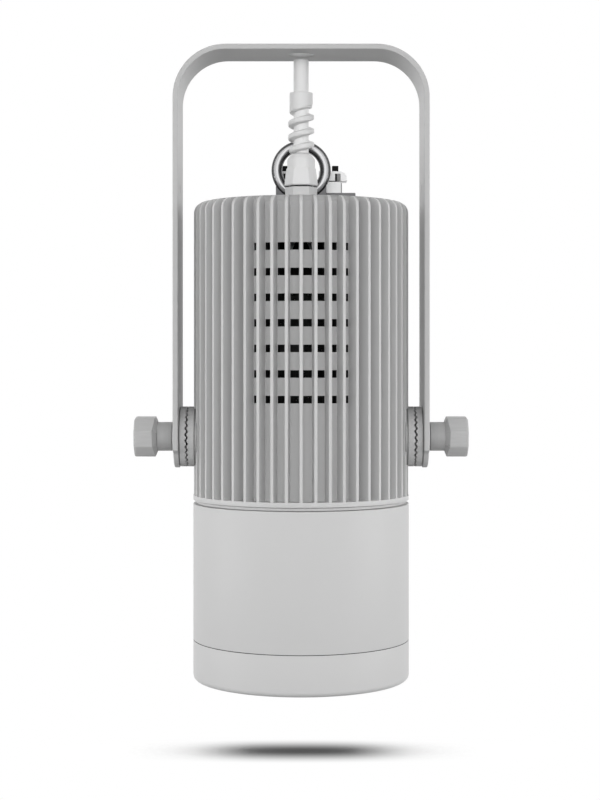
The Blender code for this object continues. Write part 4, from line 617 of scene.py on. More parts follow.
class WASHLIGHT_OT_stage(bpy.types.Operator):
    """Camera, floor, room and lights"""

    bl_idname = "washlight.stage"
    bl_label = "Stage"

    def execute(self, context):
        scene = context.scene
        scene.view_settings.view_transform = "Standard"
        self.camera(scene)
        floor = self.floor(scene)
        self.room(scene)
        self.lamp("front_softbox", (0.1, -2.2, AXIS_Z + 0.5), (0, 0, AXIS_Z + 0.04), (1.6, 1.6),
                  colours().front_light)
        low = FLOOR + 0.12
        for side, word in SIDES:
            self.lamp(word + "_low_lamp", (side * 0.9, -0.2, low), (0, 0, low), (0.5, 0.18),
                      colours().side_light)
        above = self.lamp("floor_light", (0, 0, FLOOR + 1.6), (0, 0, FLOOR), (2.4, 2.4),
                          colours().floor_light)
        above.visible_glossy = False
        only_floor = bpy.data.collections.new("floor_only")
        only_floor.objects.link(floor)
        above.light_linking.receiver_collection = only_floor
        return {"FINISHED"}

    def camera(self, scene):
        data = bpy.data.cameras.new("camera")
        data.sensor_width = 36
        data.lens = 78.75
        data.shift_x = -0.0014
        data.shift_y = -0.05625
        camera = bpy.data.objects.new("camera", data)
        scene.collection.objects.link(camera)
        camera.location = (0.0, -0.9765, AXIS_Z + 0.0454)
        camera.rotation_euler = (math.pi / 2, 0.0, 0.0)
        scene.camera = camera

    def floor(self, scene):
        """A pale floor. Only the rays that see it find it lit up to white round the lamp's shadow."""
        bm = bmesh.new()
        bmesh.ops.create_circle(bm, cap_ends=True, segments=96, radius=9.0,
                                matrix=Matrix.Translation((0, 0, FLOOR)))
        mesh = bpy.data.meshes.new("studio_floor")
        bm.to_mesh(mesh)
        bm.free()
        floor = bpy.data.objects.new("studio_floor", mesh)
        scene.collection.objects.link(floor)
        material = bpy.data.materials.new("studio_floor")
        material.use_nodes = True
        tree = material.node_tree
        tree.nodes.remove(tree.nodes["Principled BSDF"])
        seen = add_node(tree, "BsdfDiffuse", {"Color": (*grey(0.2), 1.0)})
        plain = add_node(tree, "BsdfDiffuse", {"Color": (*grey(0.035), 1.0)})
        white = add_node(tree, "Emission", {"Strength": 1.0})
        # The shadow fades in an oval five times as wide as it is deep
        squeezed = vector_calc(tree, "MULTIPLY", object_place(tree), (0.2, 1.0, 0.0))
        away = vector_calc(tree, "LENGTH", squeezed)
        fade = add_node(tree, "MapRange", {
            "Value": away, "From Min": 2 * MM, "From Max": 32 * MM}, interpolation_type="SMOOTHSTEP")
        round_lamp = mixed_shaders(tree, fade.outputs["Result"], seen, white)
        above = mixed_shaders(tree, looked_at(tree), plain, round_lamp)
        below = add_node(tree, "NewGeometry", {}).outputs["Backfacing"]
        surface = mixed_shaders(tree, below, above, add_node(tree, "BsdfTransparent", {}))
        tree.links.new(surface.outputs[0], tree.nodes["Material Output"].inputs["Surface"])
        mesh.materials.append(material)
        return floor

    def room(self, scene):
        """White to look at. Its light comes from a bright band round the horizon, less from above."""
        world = bpy.data.worlds.new("studio_room")
        world.use_nodes = True
        tree = world.node_tree
        look = colours()
        place = add_node(tree, "TexCoord", {}).outputs["Generated"]
        towards = add_node(tree, "SeparateXYZ", {0: place}).outputs
        band = add_node(tree, "MapRange", {
            "Value": towards["Z"], "From Min": look.band_low, "From Max": look.band_high,
            "To Min": look.band_light, "To Max": look.room_light}, interpolation_type="SMOOTHSTEP")
        lean = calc(tree, "MULTIPLY_ADD", towards["X"], look.right_lean, 1.0)
        across = calc(tree, "MULTIPLY", towards["X"], towards["X"])
        along = calc(tree, "MULTIPLY", towards["Y"], towards["Y"])
        sides = calc(tree, "MULTIPLY_ADD", calc(tree, "SUBTRACT", across, along), look.side_lift, lean)
        # Nothing comes from under the floor, so no sample is spent there
        lit = calc(tree, "MULTIPLY", sides, calc(tree, "GREATER_THAN", towards["Z"], -0.03))
        even = tree.nodes["Background"]
        even.inputs["Color"].default_value = (1.0, 1.0, 1.0, 1.0)
        tree.links.new(calc(tree, "MULTIPLY", band.outputs["Result"], lit), even.inputs["Strength"])
        white = add_node(tree, "Background", {"Color": (1.0, 1.0, 1.0, 1.0), "Strength": 1.0})
        surface = mixed_shaders(tree, looked_at(tree), even, white)
        tree.links.new(surface.outputs[0], tree.nodes["World Output"].inputs["Surface"])
        scene.world = world

    def lamp(self, name, where, aim, size, power):
        """A soft lamp that isn't seen itself."""
        data = bpy.data.lights.new(name, "AREA")
        data.shape = "RECTANGLE"
        data.size, data.size_y = size
        data.energy = power
        lamp = bpy.data.objects.new(name, data)
        bpy.context.scene.collection.objects.link(lamp)
        lamp.location = where
        towards = Vector(aim) - Vector(where)
        lamp.rotation_euler = towards.to_track_quat("-Z", "Y").to_euler()
        lamp.visible_camera = False
        lamp.visible_transmission = False
        return lamp


# Cable, guard and gland

class WASHLIGHT_OT_supply_cable(bpy.types.Operator):
    """Supply cable from the gland up to the crossbar"""

    bl_idname = "washlight.supply_cable"
    bl_label = "Supply cable"

    def execute(self, context):
        low, high = BOX["supply_cable"]
        radius = high.y
        length = high.z - low.z
        edge = 0.25 * MM
        corners = [(0.0, low.z), (radius, low.z)]
        corners += [(radius, low.z + length * step / 24) for step in range(1, 24)]
        corners += arc(radius - edge, high.z - edge, edge, 0, 90, 3)
        corners += [(0.0, high.z)]
        cable = piece("supply_cable_sheath", turned(corners, 48, False), "head", "cable_sheath",
                      "supply_cable")
        return {"FINISHED"}


class WASHLIGHT_OT_strain_guard(bpy.types.Operator):
    """Spiral strain guard with its collar"""

    bl_idname = "washlight.strain_guard"
    bl_label = "Strain guard"

    def execute(self, context):
        pitch = sizes().guard_pitch
        root = far("supply_cable").y + 0.05 * MM
        sunk = root - 0.3 * MM
        flank = root + 0.9 * MM
        rim = 7.3 * MM
        start_turn = -540
        end_turn = 700
        step_turn = 10
        centre = AXIS_Z + 174.2 * MM + pitch * (start_turn - 180) / 360
        fin = rounded([(sunk, -2.2 * MM), (flank, -2.0 * MM), (rim, -1.25 * MM),
                       (rim, 1.25 * MM), (flank, 2.0 * MM), (sunk, 2.2 * MM)], 0.7 * MM)
        bm = bmesh.new()
        turn = Matrix.Rotation(math.radians(start_turn), 3, "Z")
        ring = [bm.verts.new(turn @ Vector((r, 0.0, centre + z))) for r, z in fin]
        bmesh.ops.spin(bm, geom=[bm.faces.new(ring), *ring], cent=(0, 0, 0), axis=(0, 0, 1),
                       dvec=(0, 0, pitch * step_turn / 360), angle=math.radians(end_turn - start_turn),
                       steps=(end_turn - start_turn) // step_turn, use_merge=False, use_duplicate=False)
        bm.verts.ensure_lookup_table()
        low_limit = far("gland_nut").z + 0.2 * MM
        for index, vert in enumerate(bm.verts):
            self.taper(vert, step_turn * (index // len(ring)), root)
            vert.co.z = max(vert.co.z, low_limit)
        top = far("spiral_guard").z
        collar_low = top - 8.4 * MM
        collar_radius = 6.45 * MM
        spin_profile(bm, rounded(section(root, collar_low, collar_radius, top), 0.5 * MM), 64)
        clean(bm)
        self.slope_collar(bm, collar_low, collar_radius)
        piece("strain_guard", bm, "head", "gland_plastic", "spiral_guard", 50)
        return {"FINISHED"}

    def taper(self, vert, turned_by, root):
        """The fin grows out over its first 30 degrees and sinks into the collar from 940 to 1100."""
        fade = max(0.0, 1 - turned_by / 30, (turned_by - 940) / 160)
        share = max(0.70, 1.0 - 0.30 * fade)
        reach = from_axis(vert.co)
        if reach > root:
            widen(vert, (root + (reach - root) * share) / reach)

    def slope_collar(self, bm, low, radius):
        """The collar's lower edge follows the last turn of the spiral."""
        for vert in bm.verts:
            if abs(vert.co.z - low) < 0.6 * MM and from_axis(vert.co) > 0.93 * radius:
                vert.co.z += 2.0 * MM * vert.co.x / radius - 0.3 * MM


class WASHLIGHT_OT_cable_gland(bpy.types.Operator):
    """Gland body and its dome nut"""

    bl_idname = "washlight.cable_gland"
    bl_label = "Cable gland"

    def execute(self, context):
        self.body()
        self.nut()
        return {"FINISHED"}

    def body(self):
        """A hexagon on the top cover, its neck above and its thread below."""
        low, high = BOX["gland_body"]
        base = SINK_TOP + 0.3 * MM
        hex_top = near("gland_nut").z - 0.8 * MM
        bore = far("inner_cable").y + 0.3 * MM
        bm = bmesh.new()
        prism(bm, 6, high.x, base, hex_top, math.pi / 6)
        bevel_edges(bm, bm.edges[:], 0.45 * MM, 3)
        neck_radius = 6.2 * MM
        thread_radius = 7.4 * MM
        neck = bmesh.new()
        spin_profile(neck, section(bore, hex_top - 0.1 * MM, neck_radius, hex_top + 6 * MM), 48)
        spin_profile(neck, section(bore, low.z, thread_radius, base), 48)
        add_mesh(bm, neck)
        clean(bm)
        # The neck is given black rubber, which paints the shadow in the gap under the nut as a dark line
        for face in bm.faces:
            if face.calc_center_median().z > hex_top + 0.01 * MM:
                face.material_index = 1
        # The foot's darker plastic paints the shade under the nut's overhang
        piece("gland_foot", bm, "head", "gland_foot_plastic black_rubber", "gland_body")

    def nut(self):
        """A tapering hexagon with a dome on it."""
        low, high = BOX["gland_nut"]
        hex_top = low.z + 10.0 * MM
        bm = bmesh.new()
        prism(bm, 6, high.x, low.z, hex_top, math.pi / 6, high.x - 1.2 * MM)
        bevel_edges(bm, bm.edges[:], 0.8 * MM, 3)
        radius = 7.7 * MM
        neck = 4.9 * MM
        bore = far("supply_cable").y + 0.1 * MM
        shoulder = high.z - 3.6 * MM
        dome = [(bore, hex_top - 1 * MM), (radius, hex_top - 1 * MM), (radius, shoulder)]
        dome += [(radius - 0.35 * MM, shoulder + 0.9 * MM), (neck + 1.0 * MM, high.z - 0.5 * MM)]
        dome += [(neck, high.z), (bore, high.z)]
        shell = bmesh.new()
        spin_profile(shell, dome, 72)
        self.flatten(shell, radius)
        add_mesh(bm, shell)
        clean(bm)
        piece("gland_cap_nut", bm, "head", "gland_plastic", "gland_nut", 22)

    def flatten(self, bm, radius):
        """Draws the dome's lower wall towards six broad flats."""
        for vert in bm.verts:
            reach = from_axis(vert.co)
            angle = math.atan2(vert.co.y, vert.co.x) % (math.pi / 3) - math.pi / 6
            limit = 0.925 * radius / math.cos(angle)
            if reach > max(limit, 0.7 * radius):
                widen(vert, limit / reach)


# Yoke and tilt locks

class WASHLIGHT_OT_yoke(bpy.types.Operator):
    """Bent strap yoke with its clamp hole and side holes"""

    bl_idname = "washlight.yoke"
    bl_label = "Yoke"

    def execute(self, context):
        self.half = far("yoke").y
        self.flat = STRAP_INNER - 26 * MM
        self.bend = 27.5 * MM
        self.bend_end = self.flat + self.bend * math.pi / 2
        self.bend_z = -STRAP_THICK / 2 - self.bend
        self.axis = self.bend_end + self.bend_z - AXIS_Z
        self.patch = 10 * MM
        side_hole = self.axis - 138 * MM
        self.holes = [(0.0, 6.75 * MM, 64)]
        for side in (-1, 1):
            self.holes += [(side * side_hole, 2.4 * MM, 32), (side * self.axis, STUD_HOLE, 32)]
        bm = self.strip(side_hole)
        for side in (-1, 1):
            self.leg_end(bm, side)
        bmesh.ops.remove_doubles(bm, verts=bm.verts[:], dist=CLOSER)
        for centre, radius, count in self.holes:
            self.pierce(bm, centre, radius, count)
        for vert in bm.verts:
            vert.co = self.bent(vert.co)
        face_outwards(bm)
        top = max(bm.faces, key=lambda face: face.calc_center_median().z)
        if top.normal.z < 0:
            bmesh.ops.reverse_faces(bm, faces=bm.faces[:])
        strap = piece("yoke_strap", bm, "yoke", "strap_powder_coat", "yoke", 32)
        wall = strap.modifiers.new("thickness", "SOLIDIFY")
        wall.thickness = STRAP_THICK
        wall.offset = 0.0
        wall.use_even_offset = True
        soften(strap, sizes().strap_edge, 50)
        return {"FINISHED"}

    def strip(self, side_hole):
        """The flat strap between its leg ends, with square openings where the holes come."""
        bm = bmesh.new()
        bmesh.ops.create_grid(bm, x_segments=1, y_segments=1, size=1.0,
                              matrix=Matrix.Diagonal((self.axis - self.patch, self.half, 1.0, 1.0)))
        cuts = [self.patch, side_hole - self.patch, side_hole + self.patch]
        cuts += [self.flat + (self.bend_end - self.flat) * step / 24 for step in range(25)]
        planes = [((side * cut, 0, 0), (1, 0, 0)) for cut in cuts for side in (-1, 1)]
        planes += [((0, side * self.patch, 0), (0, 1, 0)) for side in (-1, 1)]
        for place, facing in planes:
            geometry = bm.verts[:] + bm.edges[:] + bm.faces[:]
            bmesh.ops.bisect_plane(bm, geom=geometry, dist=CLOSER, plane_co=place, plane_no=facing)
        gone = []
        for face in bm.faces:
            middle = face.calc_center_median()
            over = any(abs(middle.x - hole[0]) < self.patch for hole in self.holes)
            if over and abs(middle.y) < self.patch:
                gone.append(face)
        bmesh.ops.delete(bm, geom=gone, context="FACES")
        return bm

    def leg_end(self, bm, side):
        """The strap's end round the stud hole: a round end below two shoulders."""
        radius = 17.3 * MM
        shoulder = 7.1 * MM
        round_from = 9.0 * MM
        start = math.asin(round_from / radius)
        half = self.half
        patch = self.patch
        points = [(-patch, -patch), (-patch, -half), (shoulder, -half)]
        for step in range(33):
            angle = -math.pi / 2 + start + (math.pi - 2 * start) * step / 32
            points.append((radius * math.cos(angle), radius * math.sin(angle)))
        points += [(shoulder, half), (-patch, half), (-patch, patch), (patch, patch), (patch, -patch)]
        bm.faces.new([bm.verts.new((side * (self.axis + s), y, 0.0)) for s, y in points])

    def pierce(self, bm, centre, radius, count):
        """Fills one square opening with a ring of faces round its hole."""
        reach = self.patch + CLOSE

        def in_patch(place):
            return abs(place.y) < reach and abs(place.x - centre) < reach

        def round_centre(vert):
            return (math.atan2(vert.co.y, vert.co.x - centre) + 0.01) % (2 * math.pi)

        bmesh.ops.subdivide_edges(bm, edges=edges_at(bm, in_patch), cuts=count // 4 - 1, use_grid_fill=False)
        outer = sorted((vert for vert in bm.verts if in_patch(vert.co)), key=round_centre)
        made = bmesh.ops.create_circle(bm, cap_ends=False, segments=count, radius=radius,
                                       matrix=Matrix.Translation((centre, 0, 0)))
        inner = sorted(made["verts"], key=round_centre)
        for index in range(count):
            after = (index + 1) % count
            bm.faces.new((outer[index], outer[after], inner[after], inner[index]))

    def bent(self, place):
        """A point of the flat strap, brought to its place on the bent one."""
        side = 1.0 if place.x >= 0 else -1.0
        along = abs(place.x)
        if along <= self.flat:
            return Vector((place.x, place.y, -STRAP_THICK / 2))
        if along <= self.bend_end:
            angle = (along - self.flat) / self.bend
            x = self.flat + self.bend * math.sin(angle)
            return Vector((side * x, place.y, self.bend_z + self.bend * math.cos(angle)))
        return Vector((side * (self.flat + self.bend), place.y, self.bend_z - (along - self.bend_end)))


class WASHLIGHT_OT_tilt_discs(bpy.types.Operator):
    """Toothed tilt discs on the yoke and on the head"""

    bl_idname = "washlight.tilt_discs"
    bl_label = "Tilt discs"

    def execute(self, context):
        for side, word in SIDES:
            self.disc(word + "_yoke_rosette", word + "_yoke_disc", "yoke", side, -1)
            self.disc(word + "_head_rosette", word + "_head_disc", "head", side, 1)
        return {"FINISHED"}

    def disc(self, name, node, body, side, towards):
        """One disc, upright, with its teeth at the end that towards names, then laid along X."""
        seat, end = span(node)[::towards]
        radius = far(node).y
        depth = 0.85 * MM
        meet = end - towards * depth / 2
        count = sizes().disc_teeth
        well = 10.5 * MM
        well_floor = meet - towards * 1.0 * MM
        profile = [(STUD_HOLE, seat)]
        if towards > 0:
            # The head's disc stands on a narrower neck, and the yoke's has a chamfer
            neck = radius - 1.5 * MM
            profile += [(neck, seat), (neck, seat + 1.1 * MM), (radius - 0.5 * MM, seat + 1.3 * MM)]
            profile += [(radius, seat + 1.8 * MM)]
        else:
            profile += [(radius - 0.35 * MM, seat), (radius, seat - 0.35 * MM)]
        profile += [(radius, meet - towards * depth), (radius, meet), (well, meet)]
        profile += [(well - 0.3 * MM, well_floor), (STUD_HOLE, well_floor)]
        bm = bmesh.new()
        spin_profile(bm, profile, 6 * count)
        for vert in bm.verts:
            if abs(vert.co.z - meet) < CLOSE:
                # The wave goes past 1, so the teeth have flat tops
                wave = 1.35 * math.cos(count * math.atan2(vert.co.y, vert.co.x))
                vert.co.z += 0.5 * depth * max(-1.0, min(1.0, wave))
        clean(bm)
        along_x(bm, side)
        piece(name, bm, body, "speckled_cast_coat", node, 40)


class WASHLIGHT_OT_knobs(bpy.types.Operator):
    """Hand knobs, their washers and studs"""

    bl_idname = "washlight.knobs"
    bl_label = "Knobs"

    def execute(self, context):
        for side, word in SIDES:
            self.knob(side, word)
            self.washer(side, word)
            self.stud(side, word)
        return {"FINISHED"}

    def knob(self, side, word):
        """A head with eight flats on a turned neck."""
        node = word + "_knob"
        start, end = span(node)
        bore = 3.0 * MM
        neck = 8.05 * MM
        corner = 11.6 * MM
        facet_turn = math.radians(16.6) * -side
        flat = corner * math.cos(math.pi / 8)
        head_start = start + 8.2 * MM
        head_length = end - head_start
        bm = bmesh.new()
        prism(bm, 8, corner, head_start, end, facet_turn)
        bevel_edges(bm, level_edges(bm, end), sizes().knob_edge, 3)
        upright = [edge for edge in bm.edges
                   if abs(edge.verts[0].co.z - edge.verts[1].co.z) > 0.5 * head_length]
        bevel_edges(bm, upright, 0.35 * MM)
        bmesh.ops.subdivide_edges(bm, edges=level_edges(bm, head_start), cuts=5, use_grid_fill=False)
        under = min(bm.faces, key=lambda face: face.calc_center_median().z)
        bmesh.ops.inset_region(bm, faces=[under], thickness=flat - neck, depth=0.0, use_even_offset=True)
        # The flats end in a wave round the rim, where they meet the turned shoulder
        for vert in bm.verts:
            if from_axis(vert.co) > neck + 1.4 * MM and abs(vert.co.z - head_start) < CLOSE:
                vert.co.z = head_start + 1.0 * MM + 1.6 * MM * (vert.co.y / flat) ** 2
        bm.normal_update()
        # The faces that look towards the yoke take the knob's darker finish, as the neck does
        for face in bm.faces:
            face.material_index = 1 if face.normal.z < -0.3 else 0
        face_outwards(bm)
        head_faces = len(bm.faces)
        add_mesh(bm, turned(rounded(section(bore, start, neck, head_start + 1 * MM), 0.25 * MM, 2), 64))
        bm.faces.ensure_lookup_table()
        for face in bm.faces[head_faces:]:
            face.material_index = 1
        along_x(bm, side)
        piece(word + "_hand_knob", bm, node, "satin_knob satin_knob_neck", node, 28)

    def washer(self, side, word):
        node = word + "_washer"
        start, end = span(node)
        bm = turned(rounded(section(STUD_HOLE, start, far(node).y, end), 0.15 * MM, 2), 64)
        along_x(bm, side)
        piece(word + "_plain_washer", bm, node, "plain_steel", node)

    def stud(self, side, word):
        """A rod with its thread drawn as closed grooves."""
        node = word + "_stud"
        start, end = span(node)
        radius = far(node).y
        chamfer = 0.6 * MM
        pitch = 1.25 * MM
        corners = [(0.0, start), (radius - chamfer, start), (radius, start + chamfer)]
        for index in range(int((end - start - 2 * chamfer) / pitch)):
            foot = start + chamfer + pitch * index
            corners += [(radius, foot + 0.2 * MM), (radius - 0.55 * MM, foot + 0.65 * MM),
                        (radius, foot + 1.1 * MM)]
        corners += [(radius - chamfer, end), (0.0, end)]
        bm = turned(corners, 32, False)
        along_x(bm, side)
        piece(word + "_threaded_stud", bm, "head", "plain_steel", node)


# Head

class WASHLIGHT_OT_heatsink(bpy.types.Operator):
    """Finned tube with its vents, foot ring and side pads"""

    bl_idname = "washlight.heatsink"
    bl_label = "Heatsink"

    def execute(self, context):
        self.count = sizes().fin_count
        self.step = 2 * math.pi / self.count
        self.tip = HOUSING_RADIUS - 0.25 * MM
        self.root = self.tip - 7.85 * MM
        self.bore = self.root - 4.0 * MM
        self.foot_top = SINK_LOW + 2.7 * MM
        # The panel lines beside a vent, as shares of the way from one fin to the next
        self.vent_lines = (0.2, 0.8)
        bm = self.tube()
        self.fins(bm)
        around = sizes().round_steps
        foot_bore = 43.0 * MM
        foot = rounded(section(foot_bore, SINK_LOW, HOUSING_RADIUS, self.foot_top), 0.25 * MM, 2)
        spin_profile(bm, foot, around)
        # A small round shoulder between the fins' roots and the top cover
        inside = self.root - 1.0 * MM
        shoulder = [(inside, SINK_TOP - 3.0 * MM)]
        for out, down in ((0.0, 3.0), (0.5, 1.6), (1.2, 0.7), (2.1, 0.05)):
            shoulder.append((self.root + out * MM, SINK_TOP - down * MM))
        shoulder.append((inside, SINK_TOP - 0.05 * MM))
        spin_profile(bm, shoulder, around)
        pad_radius = 14.0 * MM
        pad_root = 49.5 * MM
        for side in (-1, 1):
            pad = bmesh.new()
            prism(pad, 72, pad_radius, pad_root, PAD_FACE, 0.0)
            along_x(pad, side)
            add_mesh(bm, pad)
        clean(bm, CLOSER)
        piece("heatsink_fins", bm, "head", "grey_powder_coat blackened_bore", "heatsink")
        return {"FINISHED"}

    def tube(self):
        """The wall between the fins: five panels to a channel, so vents fall between panel lines."""
        vent = 2.0 * MM
        pitch = 13.55 * MM
        top_row = SINK_TOP - 26.9 * MM
        rows = [(top_row - index * pitch - vent, top_row - index * pitch + vent)
                for index in range(sizes().vent_rows)]
        rabbet = SINK_TOP - 4.0 * MM
        heights = [self.foot_top]
        for low, high in reversed(rows):
            heights += [low, high]
        heights += [rabbet, SINK_TOP]
        bm = bmesh.new()
        spin_profile(bm, [(self.root, z) for z in heights], 5 * self.count, False)
        clean(bm, CLOSER)
        gone = [face for face in bm.faces if self.is_vent(face, rows)]
        bmesh.ops.delete(bm, geom=gone, context="FACES")
        grown = bmesh.ops.extrude_face_region(bm, geom=bm.faces[:] + bm.edges[:] + bm.verts[:],
                                              use_keep_orig=True)
        for vert in moved_verts(grown):
            inner = self.bore if vert.co.z < rabbet + CLOSE else self.root - 2.0 * MM
            widen(vert, inner / self.root)
        face_outwards(bm)
        # The tube's inner faces take the near-black finish, which paints the shade inside the vents
        for face in bm.faces:
            inside = from_axis(face.calc_center_median()) < self.root - 0.5 * MM
            face.material_index = 1 if inside else 0
        # The panel lines beside the vents move outwards, which widens the vents
        for vert in bm.verts:
            within = (math.atan2(vert.co.y, vert.co.x) / self.step) % 1.0
            for line, swing in zip(self.vent_lines, (-0.04, 0.04)):
                if abs(within - line) < 0.01:
                    vert.co = Matrix.Rotation(swing * self.step, 3, "Z") @ vert.co
        return bm

    def is_vent(self, face, rows):
        """Vents come in the four channels to each side of the front's and the rear's middle."""
        centre = face.calc_center_median()
        first, last = self.vent_lines
        if not any(low < centre.z < high for low, high in rows):
            return False
        for facing in (-math.pi / 2, math.pi / 2):
            angle = (math.atan2(centre.y, centre.x) - facing + math.pi) % (2 * math.pi) - math.pi
            if abs(angle) <= 4 * self.step and first < (angle / self.step) % 1.0 < last:
                return True
        return False

    def fins(self, bm):
        """Every fin round the tube. Those beside the tilt discs have a notch."""
        pocket = 17.4 * MM
        for index in range(self.count):
            angle = index * self.step
            notch = None
            across = abs(self.tip * math.sin(angle))
            if across < pocket and abs(math.cos(angle)) * self.tip > PAD_FACE:
                notch = (PAD_FACE / abs(math.cos(angle)), math.sqrt(pocket ** 2 - across ** 2))
            self.fin(bm, angle, notch)

    def fin(self, bm, angle, notch):
        """One fin, cut to its outline, with its outer edges broken."""
        inner = self.root - 1.0 * MM
        low = self.foot_top - 0.5 * MM
        outline = [(inner, low), (self.tip, low)]
        if notch:
            reach, half = notch
            outline += [(self.tip, AXIS_Z - half), (reach, AXIS_Z - half)]
            outline += [(reach, AXIS_Z + half), (self.tip, AXIS_Z + half)]
        outline += [(self.tip, SINK_TOP), (inner, SINK_TOP)]
        thickness = sizes().fin_thickness
        plate = bmesh.new()
        corners = [plate.verts.new((r, -thickness / 2, z)) for r, z in outline]
        plate.faces.new(corners)
        bmesh.ops.bevel(plate, geom=[corners[-2]], offset=sizes().fin_crown, segments=8, profile=0.5,
                        affect="VERTICES", material=-1)
        grown = bmesh.ops.extrude_face_region(plate, geom=plate.faces[:])
        bmesh.ops.translate(plate, vec=(0, thickness, 0), verts=moved_verts(grown))
        face_outwards(plate)
        shown = edges_at(plate, lambda place: place.x > inner + CLOSE or place.z > SINK_TOP - CLOSE)
        rims = [edge for edge in shown
                if abs(edge.verts[0].co.y - edge.verts[1].co.y) < CLOSER
                and any(vert.co.x > inner + CLOSE for vert in edge.verts)]
        bevel_edges(plate, rims, 0.15 * MM, 1)
        transform(plate, Matrix.Rotation(angle, 4, "Z"))
        add_mesh(bm, plate)


class WASHLIGHT_OT_lower_head(bpy.types.Operator):
    """Lower housing, its seal, the bezel, the window and its gasket"""

    bl_idname = "washlight.lower_head"
    bl_label = "Lower head"

    def execute(self, context):
        self.steps = sizes().round_steps
        self.edge = sizes().housing_edge
        self.wall = HOUSING_RADIUS - 3.4 * MM
        self.housing()
        low, high = BOX["housing_seal"]
        self.ring("housing_gasket", 50.8 * MM, low.z, HOUSING_RADIUS - 1.85 * MM, high.z, 0.3 * MM,
                  "grey_silicone", "housing_seal")
        self.bezel()
        self.pane()
        return {"FINISHED"}

    def ring(self, name, inner, low, outer, high, radius, look, node, steps=3):
        """A ring with a rounded section, for the seals and for the dark ring that paints the shadow in the
        bezel's joint.
        """
        corners = rounded(section(inner, low, outer, high), radius, steps)
        piece(name, turned(corners, self.steps), "head", look, node)

    def housing(self):
        low, high = BOX["lower_housing"]
        edge = self.edge
        rim = HOUSING_RADIUS - edge
        bottom = low.z + 8.0 * MM
        spigot = 58.3 * MM
        mouth = 50.8 * MM
        lip = 44.0 * MM
        lip_high = near("heat_spreader").z - 0.3 * MM
        lip_low = lip_high - 2.5 * MM
        body = [(mouth, high.z)] + arc(rim, high.z - edge, edge, 90, 0, 3)
        body += arc(rim, bottom + edge, edge, 0, -90, 3)
        body += [(spigot, bottom), (spigot, low.z), (self.wall, low.z), (self.wall, lip_low)]
        body += [(lip, lip_low), (lip, lip_high), (mouth, lip_high)]
        piece("lamp_housing", turned(body, self.steps), "head", "grey_powder_coat", "lower_housing")

    def bezel(self):
        low, high = BOX["bezel"]
        edge = self.edge
        curve = 3.0 * MM
        small = 0.3 * MM
        aperture = HOUSING_RADIUS - 7.0 * MM
        lip = low.z + 3.4 * MM
        step = near("lower_housing").z - 0.3 * MM
        socket = 58.6 * MM
        ring = [(socket, high.z)] + arc(HOUSING_RADIUS - edge, high.z - edge, edge, 90, 0, 3)
        ring += arc(HOUSING_RADIUS - curve, low.z + curve, curve, 0, -90, 10)
        ring += arc(aperture + small, low.z + small, small, 270, 180, 3)
        ring += [(aperture, lip), (self.wall, lip), (self.wall, step), (socket, step)]
        piece("front_bezel", turned(ring, self.steps), "head", "grey_powder_coat", "bezel")
        # A black ring sunk in the joint between housing and bezel paints the shadow of the gap as a dark
        # line
        joint = high.z + 0.02 * MM
        half = 0.35 * MM
        self.ring("bezel_joint_seal", 57.5 * MM, joint - half, HOUSING_RADIUS - 0.10 * MM,
                  joint + half, 0.04 * MM, "black_rubber", None, 1)

    def pane(self):
        """The window and its gasket."""
        low, high = BOX["window"]
        radius = 56.3 * MM
        edge = 0.35 * MM
        disc = [(0.0, low.z), (radius - edge, low.z), (radius, low.z + edge)]
        disc += [(radius, high.z - edge), (radius - edge, high.z), (0.0, high.z)]
        piece("front_glass", turned(disc, self.steps, False), "head", "clear_glass", "window")
        low, high = BOX["window_gasket"]
        self.ring("glass_gasket", 53.7 * MM, low.z, radius, high.z, 0.4 * MM, "black_rubber",
                  "window_gasket")


class WASHLIGHT_OT_optics(bpy.types.Operator):
    """Lenses, their holder, the black tube and the LED board behind the window"""

    bl_idname = "washlight.optics"
    bl_label = "Optics"

    def execute(self, context):
        self.lenses()
        keep("optic_holder", "black_plastic")
        keep("baffle_tube", "black_plastic")
        keep("heat_spreader", "bare_aluminium")
        keep("led_board", "white_board_lacquer")
        return {"FINISHED"}

    def lenses(self):
        """Seven collimator lenses on one web: a cone with a domed face that has fine rings."""
        low, high = BOX["optic_array"]
        face = low.z
        rim = 15.4 * MM
        ringed = rim - 1.6 * MM
        ring_foot = face + 0.9 * MM
        rings = 7
        web = face + 1.8 * MM
        back = 6.2 * MM
        profile = [(0.0, ring_foot)]
        for index in range(rings):
            profile += [(ringed * index / rings + 0.25 * MM, ring_foot),
                        (ringed * (index + 1) / rings, face + 0.5 * MM)]
        profile += [(rim - 1.2 * MM, face), (rim, face), (rim, web), (rim - 1.0 * MM, web + 1.5 * MM)]
        profile += [(back, high.z), (0.0, high.z)]
        spacing = 32.0 * MM
        spots = [(0.0, 0.0)]
        for index in range(6):
            angle = index * math.pi / 3
            spots.append((spacing * math.cos(angle), spacing * math.sin(angle)))
        bm = bmesh.new()
        for x, y in spots:
            lens = turned(profile, 48, False)
            transform(lens, Matrix.Translation((x, y, 0)))
            add_mesh(bm, lens)
        piece("lens_array", bm, "head", "lens_plastic", "optic_array")


